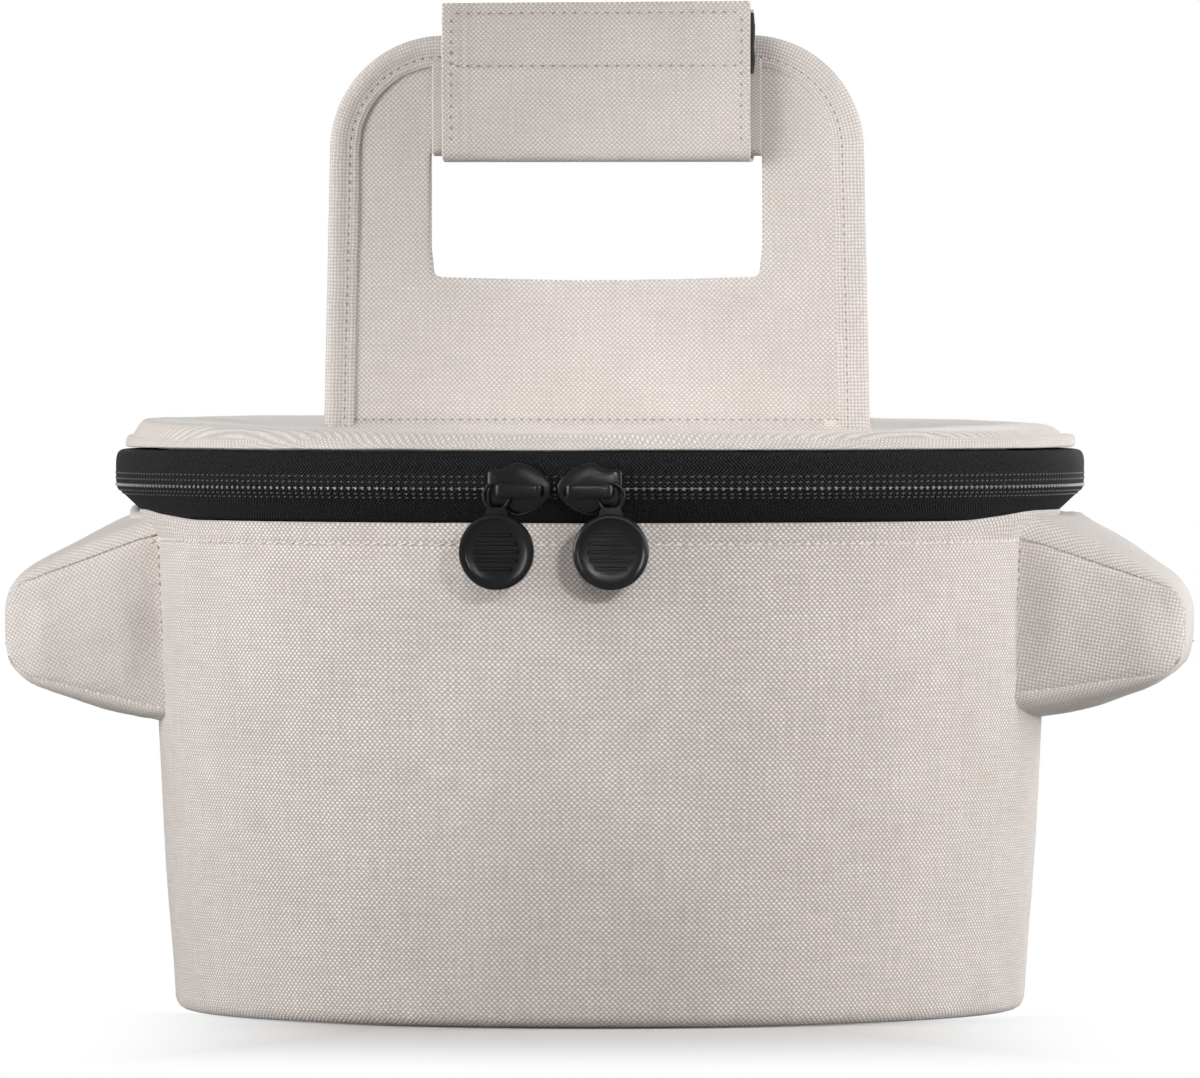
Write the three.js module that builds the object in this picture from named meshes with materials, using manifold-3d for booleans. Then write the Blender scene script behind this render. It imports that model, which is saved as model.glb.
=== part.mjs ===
// A round canvas carrier for a dutch oven: padded wall with two hollow ears for the pot's loop handles,
// a zipped padded lid on a rear hinge strip, and an upright handle with a hook-and-loop grip wrap.
// Millimetres, +Z up, front towards -Y. The origin is the middle of the underside.
import * as THREE from "three";
import { mergeVertices } from "three/addons/utils/BufferGeometryUtils.js";
import Module from "manifold-3d";

const wasm = await Module();
wasm.setup();

// Cloth thicknesses and the air left between neighbouring layers
const GAP = 0.3;
const CANVAS = 1.2;
const LINING = 0.8;
const TAPE = 0.8;
const WALL_FOAM = 3.2;
const BASE_BOARD = 2;
const BASE_FOAM = 4;

// Wall and base
const WALL_HEIGHT = 162;
const BASE_RADIUS = 141;
const RIM_FLARE = 7.5;
const RIM_RADIUS = BASE_RADIUS + RIM_FLARE;
const BOTTOM_ROUNDING = 8;

// Zip: the chain runs round the front and sides, and a canvas strip closes the rest at the back
const CHAIN_RISE = 11.7;
const CHAIN_HEIGHT = WALL_HEIGHT + CHAIN_RISE;
const CHAIN_OVERHANG = 11.2;
const CHAIN_RADIUS = RIM_RADIUS + CHAIN_OVERHANG;
const ZIP_HALF_ANGLE = 150;
const RUNNING_SLOT = 1.2;
const COIL_HEIGHT = 3.4;
const COIL_DEPTH = 1.6;
const TAPE_HEM_DEPTH = 5.5;
const TAPE_UPRIGHT = 4;
const END_STOP_ANGLE = 0.8;
const END_STOP_PROUD = 0.6;
const COIL_END_ANGLE = 0.2;

// How the tapes bend: the lower one over the rim and out to the chain, the upper one in under the lip
const RIM_BEND = { out: 2, up: 0.6 };
const CHAIN_BEND = { inward: 2.5, down: 3 };
const LIP_BEND = { down: 4.6, out: 1, halfWay: 1.2, inward: 3 };
const LIP_OVERLAP = 0.5;

// Lid: a folded lip over the zip, and a padded top that rises from a flat middle to a shoulder
const LIP_RISE = 12.1;
const LIP_BOTTOM = CHAIN_HEIGHT + LIP_RISE;
const LIP_HEIGHT = 4.2;
const LIP_SETBACK = 2.7;
const LIP_RADIUS = CHAIN_RADIUS - LIP_SETBACK;
const PAD_OVERHANG = 1;
const PAD_RADIUS = RIM_RADIUS + PAD_OVERHANG;
const PAD_FLAT_INSET = 52.5;
const PAD_FLAT_RADIUS = PAD_RADIUS - PAD_FLAT_INSET;
const PAD_FLAT_RISE = 5.6;
const PAD_FLAT_HEIGHT = LIP_BOTTOM + PAD_FLAT_RISE;
const PAD_SLOPE_INSET = 21;
const PAD_SLOPE_RISE = 2.4;
const PAD_SHOULDER_RISE = 3.2;
const PAD_SHOULDER = PAD_FLAT_HEIGHT + PAD_SHOULDER_RISE;
const PAD_ROUNDING = 4;
const LID_THICKNESS = 7.6;
const HINGE_STRIP_DROP = 0.6;

// Ears: the seam is the outline of the front and rear panels, the crown is the strip's middle line.
// Heights are drops below the rim.
const EAR_ROOT_INSET = 0.5;
const EAR_ROOT = RIM_RADIUS - EAR_ROOT_INSET;
const EAR_SEAM_LENGTH = 39;
const EAR_CROWN_LENGTH = 50.3;
const EAR_ROOT_HALF = 42;
const EAR_END_HALF = 31;
const EAR_SEAM_DROPS = { rootTop: 7, endTop: 23, endBottom: 53, rootBottom: 62 };
const EAR_CROWN_DROPS = { rootTop: -3, endTop: 16, endBottom: 55, rootBottom: 66.5 };
const EAR_SEAM_ROUNDING = 7;
const EAR_CROWN_ROUNDING = 16;
const EAR_FOAM = 2.4;
const EAR_WINDOW_DROP = 10;
const EAR_INWARD_RUN = 28;

// Handle: two panels on a stiffener, bound round the edge and hemmed where they meet the lid.
// Heights are above the lid's flat middle.
const HANDLE_BASE_WIDTH = 181;
const HANDLE_TAPER = 2;
const HANDLE_HEIGHT = 130.6;
const HANDLE_CORNER = 36;
const HANDLE_PANEL = 1.3;
const HANDLE_STIFFENER = 2.4;
const STIFFENER_INSET = 4;
const BINDING = 0.8;
const BINDING_WIDTH = 7;
const HEM_HEIGHT = 5;
const SLOT_WIDTH = 110;
const SLOT_BOTTOM = 50.3;
const SLOT_TOP = 92;
const SLOT_ROUNDING = 1.2;
const ANCHOR_OVERHANG = 1.5;
const ANCHOR_LENGTH = HANDLE_BASE_WIDTH + 2 * ANCHOR_OVERHANG;
const ANCHOR_WIDTH = 24;
const ANCHOR_THICKNESS = 1.5;

// Grip wrap: each layer is a little narrower than the one under it
const GRIP_SIDE_CLEARANCE = 1.3;
const GRIP_INNER_WIDTH = SLOT_WIDTH - 2 * GRIP_SIDE_CLEARANCE;
const GRIP_WIDTH_STEP = 2;
const GRIP_WIDTH = GRIP_INNER_WIDTH - 2 * GRIP_WIDTH_STEP;
const GRIP_RISE = 10.8;
const GRIP_TOP = HANDLE_HEIGHT + GRIP_RISE;
const GRIP_TOP_STEP = 2.4;
const HOOK_STRIP_HEIGHT = 18;
const HOOK_STRIP_INSET = 3.2;
const HOOK_STRIP_LENGTH = GRIP_WIDTH - 2 * HOOK_STRIP_INSET;
const HOOK_STRIP = 1;
const WRAP_SLIT = 1.4;

// Sliders: two plates joined by a post that runs in the slot between the coils, with a crown in front
const SLIDER_LENGTH = 20.5;
const SLIDER_TAIL_HEIGHT = 12;
const SLIDER_SHOULDER_HEIGHT = 16;
const SLIDER_PLATE = 1.5;
const SLIDER_CLEARANCE = 0.45;
const SLIDER_NOSE_GAP = 1.6;
const SLIDER_TAIL_SHARE = 0.3;
const SLIDER_NOSE_FULLNESS = 0.8;
const POST_LENGTH = 8;
const CROWN_LENGTH = 14;
const CROWN_HEIGHT = 4.1;
const CROWN_THICKNESS = 1.6;
const CROWN_STANDOFF = 2.6;
const CROWN_DROP = 0.7;
const CROWN_TAIL_INSET = 2.6;
const LEG_LENGTH = 1.8;
const LEG_HEIGHT = 2.6;

// Pullers: a ring hung on the crown's tail leg, cast in one with a round disc
const RING_RADIUS = 4.8;
const RING_HOLE_RADIUS = 3.7;
const RING_THICKNESS = 1.8;
const RING_DROP = 1.7;
const DISC_RADIUS = 12.3;
const DISC_THICKNESS = 3;
const DISC_DROP = 19.5;
const DISC_RIM_WIDTH = 1.6;
const DISC_RECESS = 0.6;
const NECK_WIDTH = 7;

// Fineness of round shapes
const DEGREES_PER_STEP = 7.5;
const CURVE_STEPS = 3;
const CIRCLE_STEPS = 10;
const ROLL_SIDES = 24;
const EAR_SLICES = [-1, -0.93, -0.7, -0.36, 0, 0.36, 0.7, 0.93, 1];

// How far a cutting shape runs past what it cuts, and the share of the ear's width its cutter reaches
const OVERRUN = 1;
const EAR_CUTTER_SHARE = 1.3;

const canvasCloth = cloth(0xd9cfc5, 0.95);
const liningCloth = cloth(0x8f8b86, 0.8);
const foam = cloth(0xeeeae2, 1);
const blackTape = cloth(0x1a1a1c, 0.85);
const board = cloth(0x9a8466, 0.9);
const blackMetal = new THREE.MeshStandardMaterial({ color: 0x1d1d1f, roughness: 0.45, metalness: 0.6 });

function cloth(color, roughness) {
  return new THREE.MeshStandardMaterial({ color, roughness, metalness: 0 });
}

// Solids, cuts and joins

function solidOf(shape) {
  if (!(shape instanceof THREE.BufferGeometry)) return shape;
  const bare = new THREE.BufferGeometry();
  bare.setAttribute("position", shape.getAttribute("position"));
  bare.setIndex(shape.index);
  const merged = mergeVertices(bare, 1e-4);
  const kept = [];
  const index = merged.index.array;
  for (let i = 0; i < index.length; i += 3) {
    const [a, b, c] = [index[i], index[i + 1], index[i + 2]];
    if (a !== b && b !== c && c !== a) kept.push(a, b, c);
  }
  return new wasm.Manifold(
    new wasm.Mesh({
      numProp: 3,
      vertProperties: new Float32Array(merged.attributes.position.array),
      triVerts: new Uint32Array(kept),
    }),
  );
}

function geometryOf(shape) {
  if (shape instanceof THREE.BufferGeometry) return shape;
  const mesh = shape.getMesh();
  const geometry = new THREE.BufferGeometry();
  geometry.setAttribute("position", new THREE.BufferAttribute(mesh.vertProperties.slice(), 3));
  geometry.setIndex(new THREE.BufferAttribute(mesh.triVerts.slice(), 1));
  geometry.computeVertexNormals();
  return geometry;
}

function cut(shape, ...tools) {
  return tools.reduce((left, tool) => left.subtract(solidOf(tool)), solidOf(shape));
}

function join(first, ...others) {
  return others.reduce((sum, other) => sum.add(solidOf(other)), solidOf(first));
}

function common(shape, limit) {
  return solidOf(shape).intersect(solidOf(limit));
}

function piece(name, shape, material) {
  const mesh = new THREE.Mesh(geometryOf(shape), material);
  mesh.name = name;
  return mesh;
}

// Shape makers

// A closed skin over rings of matching points. The outline is the rings' common pattern in two
// dimensions, and its triangles close the first and last ring unless the rings wrap round.
function skin(rings, outline, wrapped) {
  const flat = outline.map(([u, v]) => new THREE.Vector2(u, v));
  const turned = THREE.ShapeUtils.area(flat) < 0;
  if (turned) flat.reverse();
  const ordered = turned ? rings.map((ring) => [...ring].reverse()) : rings;
  const count = flat.length;
  const faces = [];
  const spans = wrapped ? rings.length : rings.length - 1;
  for (let i = 0; i < spans; i++) {
    const here = i * count;
    const next = ((i + 1) % rings.length) * count;
    for (let j = 0; j < count; j++) {
      const k = (j + 1) % count;
      faces.push(here + k, here + j, next + j, here + k, next + j, next + k);
    }
  }
  if (!wrapped) {
    const far = (rings.length - 1) * count;
    for (const [a, b, c] of THREE.ShapeUtils.triangulateShape(flat, [])) {
      faces.push(a, b, c, far + a, far + c, far + b);
    }
  }
  const geometry = new THREE.BufferGeometry().setFromPoints(ordered.flat());
  geometry.setIndex(faces);
  return geometry;
}

// A profile of [radius, height] points turned about Z, between two angles or all the way round.
function revolve(profile, from = 0, to = 360) {
  const whole = to - from >= 360;
  const steps = Math.max(1, Math.round((to - from) / DEGREES_PER_STEP));
  const rings = [];
  for (let i = 0; i < steps + (whole ? 0 : 1); i++) {
    const angle = THREE.MathUtils.degToRad(from + ((to - from) * i) / steps);
    const ring = profile.map(
      ([radius, height]) => new THREE.Vector3(radius * Math.cos(angle), radius * Math.sin(angle), height),
    );
    rings.push(ring);
  }
  return skin(rings, profile, whole);
}

// A shape drawn in the XZ plane, run along Y between two places.
function plate(shape, nearY, farY, curveSegments = CURVE_STEPS) {
  const options = { depth: farY - nearY, bevelEnabled: false, curveSegments };
  return new THREE.ExtrudeGeometry(shape, options).rotateX(Math.PI / 2).translate(0, farY, 0);
}

function rectangle(left, right, low, high) {
  const corners = [[left, low], [right, low], [right, high], [left, high]];
  return new THREE.Shape(corners.map(([x, z]) => new THREE.Vector2(x, z)));
}

function box(left, right, nearY, farY, low, high) {
  return new THREE.BoxGeometry(right - left, farY - nearY, high - low).translate(
    (left + right) / 2,
    (nearY + farY) / 2,
    (low + high) / 2,
  );
}

// The outline of a cloth strip seen on edge: its middle line thickened to both sides.
function strip(line, thickness) {
  const points = line.map(([r, z]) => new THREE.Vector2(r, z));
  const normals = points.slice(1).map((p, i) => {
    const along = p.clone().sub(points[i]).normalize();
    return new THREE.Vector2(-along.y, along.x);
  });
  const sides = [[], []];
  points.forEach((p, i) => {
    const before = normals[Math.max(i - 1, 0)];
    const after = normals[Math.min(i, normals.length - 1)];
    const mitre = before.clone().add(after).normalize();
    const reach = thickness / 2 / mitre.dot(before);
    sides[0].push([p.x + mitre.x * reach, p.y + mitre.y * reach]);
    sides[1].push([p.x - mitre.x * reach, p.y - mitre.y * reach]);
  });
  return [...sides[0], ...sides[1].reverse()];
}

function quarter(centreR, centreZ, radius, fromDegrees, toDegrees) {
  const points = [];
  for (let i = 0; i <= CURVE_STEPS; i++) {
    const angle = THREE.MathUtils.degToRad(fromDegrees + ((toDegrees - fromDegrees) * i) / CURVE_STEPS);
    points.push([centreR + radius * Math.cos(angle), centreZ + radius * Math.sin(angle)]);
  }
  return points;
}

// Wall and base

function wallRadius(height) {
  const share = (height - BOTTOM_ROUNDING) / (WALL_HEIGHT - BOTTOM_ROUNDING);
  return THREE.MathUtils.lerp(BASE_RADIUS, RIM_RADIUS, share);
}

const baseFlatRadius = BASE_RADIUS - BOTTOM_ROUNDING;
const boardBottom = CANVAS + GAP;
const baseFoamBottom = boardBottom + BASE_BOARD + GAP;
const baseLiningBottom = baseFoamBottom + BASE_FOAM + GAP;
const baseLiningTop = baseLiningBottom + LINING;
const wallStackBottom = Math.max(baseLiningBottom, BOTTOM_ROUNDING) + GAP;
const tapeHem = WALL_HEIGHT - TAPE_HEM_DEPTH;
const wallStackTop = tapeHem - GAP;
const foamOffset = CANVAS + GAP;
const liningOffset = foamOffset + WALL_FOAM + GAP;
const innerOffset = liningOffset + LINING;

// A straight layer of the wall between two depths behind its outer face.
function wallLayer(outerOffset, innerDepth, low, high) {
  return [
    [wallRadius(low) - outerOffset, low],
    [wallRadius(high) - outerOffset, high],
    [wallRadius(high) - innerDepth, high],
    [wallRadius(low) - innerDepth, low],
  ];
}

function canvasWallProfile() {
  return [
    ...quarter(baseFlatRadius, BOTTOM_ROUNDING, BOTTOM_ROUNDING, -90, 0),
    [RIM_RADIUS, WALL_HEIGHT],
    [RIM_RADIUS - CANVAS, WALL_HEIGHT],
    ...quarter(baseFlatRadius, BOTTOM_ROUNDING, BOTTOM_ROUNDING - CANVAS, 0, -90),
  ];
}

function disc(radius, low, high) {
  return revolve([[0, low], [radius, low], [radius, high], [0, high]]);
}

function makeWall() {
  const seam = THREE.MathUtils.radToDeg(GAP / 2 / BASE_RADIUS);
  const windows = earWindows();
  const canvas = canvasWallProfile();
  const wallFoam = revolve(wallLayer(foamOffset, foamOffset + WALL_FOAM, wallStackBottom, wallStackTop));
  const wallLining = revolve(wallLayer(liningOffset, innerOffset, baseLiningBottom, wallStackTop));
  const bindingInner = wallRadius(tapeHem) - innerOffset;
  const bindingOuter = sewnTapeRadius - TAPE / 2 - GAP;
  const rimBinding = revolve([
    [bindingInner, tapeHem],
    [bindingOuter, tapeHem],
    [bindingOuter, WALL_HEIGHT - GAP],
    [bindingInner, WALL_HEIGHT - GAP],
  ]);
  return [
    piece("front_panel", cut(revolve(canvas, 180 + seam, 360 - seam), ...windows), canvasCloth),
    piece("rear_panel", cut(revolve(canvas, seam, 180 - seam), ...windows), canvasCloth),
    piece("wall_foam", cut(wallFoam, ...windows), foam),
    piece("wall_lining", cut(wallLining, ...windows), liningCloth),
    piece("rim_binding", rimBinding, liningCloth),
  ];
}

function makeBase() {
  const liningRadius = wallRadius(baseLiningBottom) - innerOffset - GAP;
  return [
    piece("base_panel", disc(baseFlatRadius - GAP, 0, CANVAS), canvasCloth),
    piece("base_board", disc(baseFlatRadius, boardBottom, boardBottom + BASE_BOARD), board),
    piece("base_foam", disc(baseFlatRadius, baseFoamBottom, baseFoamBottom + BASE_FOAM), foam),
    piece("base_lining", disc(liningRadius, baseLiningBottom, baseLiningTop), liningCloth),
  ];
}

// Ears

// The ear's outline in the XZ plane, from its seam (puff 0) out to its crown (puff 1), drawn in by inset.
function earOutline(inset, puff) {
  const between = (seam, crown) => THREE.MathUtils.lerp(seam, crown, puff);
  const level = (place) => WALL_HEIGHT - between(EAR_SEAM_DROPS[place], EAR_CROWN_DROPS[place]);
  const inward = EAR_ROOT - EAR_INWARD_RUN;
  const end = EAR_ROOT + between(EAR_SEAM_LENGTH, EAR_CROWN_LENGTH) - inset;
  const rounding = between(EAR_SEAM_ROUNDING, EAR_CROWN_ROUNDING) - inset;
  const rootTop = level("rootTop") - inset;
  const rootBottom = level("rootBottom") + inset;
  const endTop = level("endTop") - inset;
  const endBottom = level("endBottom") + inset;
  const share = rounding / (end - EAR_ROOT);
  const outline = new THREE.Path();
  outline.moveTo(inward, rootBottom);
  outline.lineTo(EAR_ROOT, rootBottom);
  outline.lineTo(end - rounding, THREE.MathUtils.lerp(endBottom, rootBottom, share));
  outline.quadraticCurveTo(end, endBottom, end, endBottom + rounding);
  outline.lineTo(end, endTop - rounding);
  outline.quadraticCurveTo(end, endTop, end - rounding, THREE.MathUtils.lerp(endTop, rootTop, share));
  outline.lineTo(EAR_ROOT, rootTop);
  outline.lineTo(inward, rootTop);
  return outline.getPoints(CURVE_STEPS);
}

function earHalf(x, inset) {
  const share = (x - EAR_ROOT) / EAR_SEAM_LENGTH;
  return THREE.MathUtils.lerp(EAR_ROOT_HALF, EAR_END_HALF, share) - inset;
}

// One slice of the ear: its outline at a share of the half width, and how far it puffs there.
function earSlice(outlineInset, sideInset, share) {
  const puff = Math.sqrt(Math.max(0, 1 - share * share));
  return earOutline(outlineInset, puff).map(
    (p) => new THREE.Vector3(p.x, share * earHalf(p.x, sideInset), p.y),
  );
}

function earBlock(outlineInset, sideInset, slices) {
  const rings = slices.map((share) => earSlice(outlineInset, sideInset, share));
  const outline = earOutline(0, 0).map((p) => [p.x, p.y]);
  return skin(rings, outline, false);
}

function earPanel(side) {
  const outline = earOutline(0, 0);
  const faces = [0, CANVAS].map((inset) =>
    outline.map((p) => new THREE.Vector3(p.x, side * earHalf(p.x, inset), p.y)),
  );
  if (side > 0) faces.reverse();
  return skin(faces, outline.map((p) => [p.x, p.y]), false);
}

const earFoamInset = CANVAS + GAP;
const earLiningInset = earFoamInset + EAR_FOAM + GAP;
const earPocketInset = earLiningInset + LINING;

function earWindows() {
  const pocket = earBlock(earPocketInset, earPocketInset, EAR_SLICES);
  const reach = EAR_ROOT + EAR_CROWN_LENGTH + OVERRUN;
  const below = box(0, reach, -reach, reach, 0, WALL_HEIGHT - EAR_WINDOW_DROP);
  const right = geometryOf(common(pocket, below));
  return [right, right.clone().rotateZ(Math.PI)];
}

// What an ear stays clear of: the body's wall, and the zip's tape that hangs out over the wall.
function earNeighbour() {
  const low = (WALL_HEIGHT - EAR_CROWN_DROPS.rootBottom) / 2;
  const [rim, ...underTape] = lowerTapeLine()
    .slice(1)
    .map(([r, z]) => [r, z - TAPE - GAP]);
  return revolve([
    [0, low],
    [wallRadius(low) + GAP, low],
    [RIM_RADIUS + GAP, rim[1]],
    ...underTape,
    [CHAIN_RADIUS, LIP_BOTTOM],
    [0, LIP_BOTTOM],
  ]);
}

function makeEar(side) {
  const neighbour = earNeighbour();
  const through = [-EAR_CUTTER_SHARE, ...EAR_SLICES, EAR_CUTTER_SHARE];
  const gusset = cut(
    earBlock(0, earFoamInset, EAR_SLICES),
    earBlock(CANVAS, earFoamInset, through),
    neighbour,
  );
  const padding = cut(
    earBlock(earFoamInset, earFoamInset, EAR_SLICES),
    earBlock(earFoamInset + EAR_FOAM, earFoamInset + EAR_FOAM, EAR_SLICES),
    neighbour,
  );
  const lining = cut(
    earBlock(earLiningInset, earLiningInset, EAR_SLICES),
    earBlock(earPocketInset, earPocketInset, EAR_SLICES),
    neighbour,
  );
  const turned = side === "left";
  const ear = new THREE.Group();
  ear.rotation.z = turned ? Math.PI : 0;
  ear.add(
    piece(`${side}_ear_front_panel`, cut(earPanel(turned ? 1 : -1), neighbour), canvasCloth),
    piece(`${side}_ear_rear_panel`, cut(earPanel(turned ? -1 : 1), neighbour), canvasCloth),
    piece(`${side}_ear_gusset`, gusset, canvasCloth),
    piece(`${side}_ear_padding`, padding, foam),
    piece(`${side}_ear_lining`, lining, liningCloth),
  );
  return ear;
}

// Zip

const sewnTapeRadius = wallRadius(tapeHem) - CANVAS - GAP - TAPE / 2;
const tapeRadius = CHAIN_RADIUS - TAPE / 2;
const coilInner = CHAIN_RADIUS + GAP;
const coilOuter = coilInner + COIL_DEPTH;
const FRONT = -90;

// The tape's middle line seen on edge, up from its hem inside the wall, out over the rim and upright.
function lowerTapeLine(top = CHAIN_HEIGHT - RUNNING_SLOT / 2) {
  const overRim = WALL_HEIGHT + GAP + TAPE / 2;
  return [
    [sewnTapeRadius, tapeHem],
    [sewnTapeRadius, overRim],
    [RIM_RADIUS + RIM_BEND.out, overRim + RIM_BEND.up],
    [tapeRadius - CHAIN_BEND.inward, CHAIN_HEIGHT - TAPE_UPRIGHT - CHAIN_BEND.down],
    [tapeRadius, CHAIN_HEIGHT - TAPE_UPRIGHT],
    [tapeRadius, top],
  ];
}

function upperTapeLine() {
  const underLip = LIP_BOTTOM - GAP - TAPE / 2;
  return [
    [tapeRadius, CHAIN_HEIGHT + RUNNING_SLOT / 2],
    [tapeRadius, underLip - LIP_BEND.down],
    [tapeRadius - LIP_BEND.out, underLip - LIP_BEND.halfWay],
    [tapeRadius - LIP_BEND.inward, underLip],
    [PAD_RADIUS + GAP + LIP_OVERLAP, underLip],
  ];
}

function coil(low, high) {
  const reach = ZIP_HALF_ANGLE - END_STOP_ANGLE - COIL_END_ANGLE;
  const profile = [[coilInner, low], [coilOuter, low], [coilOuter, high], [coilInner, high]];
  return revolve(profile, FRONT - reach, FRONT + reach);
}

function endStop(side) {
  const high = CHAIN_HEIGHT - RUNNING_SLOT / 2;
  const low = high - COIL_HEIGHT;
  const outer = coilOuter + END_STOP_PROUD;
  const profile = [[coilInner, low], [outer, low], [outer, high], [coilInner, high]];
  const inner = ZIP_HALF_ANGLE - END_STOP_ANGLE;
  const angles = [FRONT + side * inner, FRONT + side * ZIP_HALF_ANGLE].sort((a, b) => a - b);
  return revolve(profile, ...angles);
}

function makeLowerZip() {
  const angles = [FRONT - ZIP_HALF_ANGLE, FRONT + ZIP_HALF_ANGLE];
  const top = CHAIN_HEIGHT - RUNNING_SLOT / 2;
  return [
    piece("lower_zip_tape", revolve(strip(lowerTapeLine(), TAPE), ...angles), blackTape),
    piece("lower_zip_coil", coil(top - COIL_HEIGHT, top), blackTape),
    piece("left_end_stop", endStop(-1), blackMetal),
    piece("right_end_stop", endStop(1), blackMetal),
  ];
}

function makeHingeStrip() {
  const clear = THREE.MathUtils.radToDeg(GAP / sewnTapeRadius);
  const from = FRONT + ZIP_HALF_ANGLE + clear;
  const to = FRONT + 360 - ZIP_HALF_ANGLE - clear;
  const profile = strip(lowerTapeLine(LIP_BOTTOM - HINGE_STRIP_DROP), TAPE);
  return piece("hinge_strip", revolve(profile, from, to), canvasCloth);
}

function makeUpperZip() {
  const angles = [FRONT - ZIP_HALF_ANGLE, FRONT + ZIP_HALF_ANGLE];
  const low = CHAIN_HEIGHT + RUNNING_SLOT / 2;
  return [
    piece("upper_zip_tape", revolve(strip(upperTapeLine(), TAPE), ...angles), blackTape),
    piece("upper_zip_coil", coil(low, low + COIL_HEIGHT), blackTape),
  ];
}

// Sliders and pullers, drawn at the front and then turned to their places

const frontPlateInner = coilOuter + SLIDER_CLEARANCE;
const frontPlateOuter = frontPlateInner + SLIDER_PLATE;
const backPlateOuter = CHAIN_RADIUS - TAPE - SLIDER_CLEARANCE;
const backPlateInner = backPlateOuter - SLIDER_PLATE;
const crownInner = frontPlateOuter + CROWN_STANDOFF;
const crownHeight = CHAIN_HEIGHT - CROWN_DROP;
const legOffset = SLIDER_LENGTH / 2 - CROWN_TAIL_INSET - LEG_LENGTH / 2;
const sliderAngle = (SLIDER_LENGTH / 2 + SLIDER_NOSE_GAP / 2) / CHAIN_RADIUS;

// The slider seen from the front: square tail, wider shoulders and a round nose, which points along nose.
function sliderShape(nose) {
  const half = SLIDER_LENGTH / 2;
  const tail = SLIDER_TAIL_HEIGHT / 2;
  const shoulder = SLIDER_SHOULDER_HEIGHT / 2;
  const cheek = SLIDER_NOSE_FULLNESS;
  const outline = new THREE.Shape();
  const at = (along, up) => [nose * along, CHAIN_HEIGHT + up];
  outline.moveTo(...at(-half, -tail));
  outline.lineTo(...at(-half * SLIDER_TAIL_SHARE, -tail));
  outline.lineTo(...at(0, -shoulder));
  outline.quadraticCurveTo(...at(cheek * half, -cheek * shoulder), ...at(half, 0));
  outline.quadraticCurveTo(...at(cheek * half, cheek * shoulder), ...at(0, shoulder));
  outline.lineTo(...at(-half * SLIDER_TAIL_SHARE, tail));
  outline.lineTo(...at(-half, tail));
  return outline;
}

function bentPlate(nose, inner, outer, halfHeight) {
  const slab = plate(sliderShape(nose), -outer - OVERRUN, -inner + SLIDER_LENGTH / 4);
  const low = CHAIN_HEIGHT - halfHeight;
  const high = CHAIN_HEIGHT + halfHeight;
  return common(slab, revolve([[inner, low], [outer, low], [outer, high], [inner, high]]));
}

function sliderBlock(nose, fromAlong, toAlong, nearRadius, farRadius, centre, height) {
  const [left, right] = [nose * fromAlong, nose * toAlong].sort((a, b) => a - b);
  return box(left, right, -farRadius, -nearRadius, centre - height / 2, centre + height / 2);
}

function makeSlider(name, nose) {
  const postHeight = RUNNING_SLOT - 2 * GAP;
  const crownTail = -SLIDER_LENGTH / 2 + CROWN_TAIL_INSET;
  const crownNose = crownTail + CROWN_LENGTH;
  const crownOuter = crownInner + CROWN_THICKNESS;
  const intoPlate = frontPlateOuter - SLIDER_PLATE / 2;
  const post = [backPlateOuter - SLIDER_PLATE / 2, intoPlate, CHAIN_HEIGHT, postHeight];
  const body = join(
    bentPlate(nose, frontPlateInner, frontPlateOuter, SLIDER_SHOULDER_HEIGHT),
    bentPlate(nose, backPlateInner, backPlateOuter, TAPE_UPRIGHT - GAP),
    sliderBlock(nose, 0, POST_LENGTH, ...post),
    sliderBlock(nose, crownTail, crownNose, crownInner, crownOuter, crownHeight, CROWN_HEIGHT),
    sliderBlock(nose, crownTail, crownTail + LEG_LENGTH, intoPlate, crownOuter, crownHeight, LEG_HEIGHT),
    sliderBlock(nose, crownNose - LEG_LENGTH, crownNose, intoPlate, crownOuter, crownHeight, CROWN_HEIGHT),
  );
  return piece(name, body, blackMetal);
}

function makePuller(name, nose) {
  const pivot = new THREE.Vector2(-nose * legOffset, crownHeight);
  const ringCentre = pivot.y - RING_DROP;
  const discCentre = pivot.y - DISC_DROP;
  const near = frontPlateOuter + (CROWN_STANDOFF - RING_THICKNESS) / 2;
  const circle = (centre, radius) => {
    const outline = new THREE.Shape();
    outline.absarc(pivot.x, centre, radius, 0, 2 * Math.PI);
    return outline;
  };
  const neckTop = ringCentre - RING_HOLE_RADIUS;
  const neck = rectangle(pivot.x - NECK_WIDTH / 2, pivot.x + NECK_WIDTH / 2, discCentre, neckTop);
  const coin = (centre, radius, nearY, farY) => plate(circle(centre, radius), nearY, farY, CIRCLE_STEPS);
  const ring = coin(ringCentre, RING_RADIUS, -near - RING_THICKNESS, -near);
  const hole = coin(ringCentre, RING_HOLE_RADIUS, -near - DISC_THICKNESS - GAP, -near + GAP);
  const disc = coin(discCentre, DISC_RADIUS, -near - DISC_THICKNESS, -near);
  const recessFace = -near - DISC_THICKNESS + DISC_RECESS;
  const recess = coin(discCentre, DISC_RADIUS - DISC_RIM_WIDTH, recessFace - 2 * DISC_RECESS, recessFace);
  const solid = cut(join(cut(disc, recess), plate(neck, -near - RING_THICKNESS, -near), ring), hole);
  return piece(name, solid, blackMetal);
}

function makeSliders() {
  return [["left", 1], ["right", -1]].map(([side, nose]) => {
    const group = new THREE.Group();
    group.rotation.z = -nose * sliderAngle;
    group.add(makeSlider(`${side}_slider`, nose), makePuller(`${side}_puller`, nose));
    return group;
  });
}

// Lid

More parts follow.
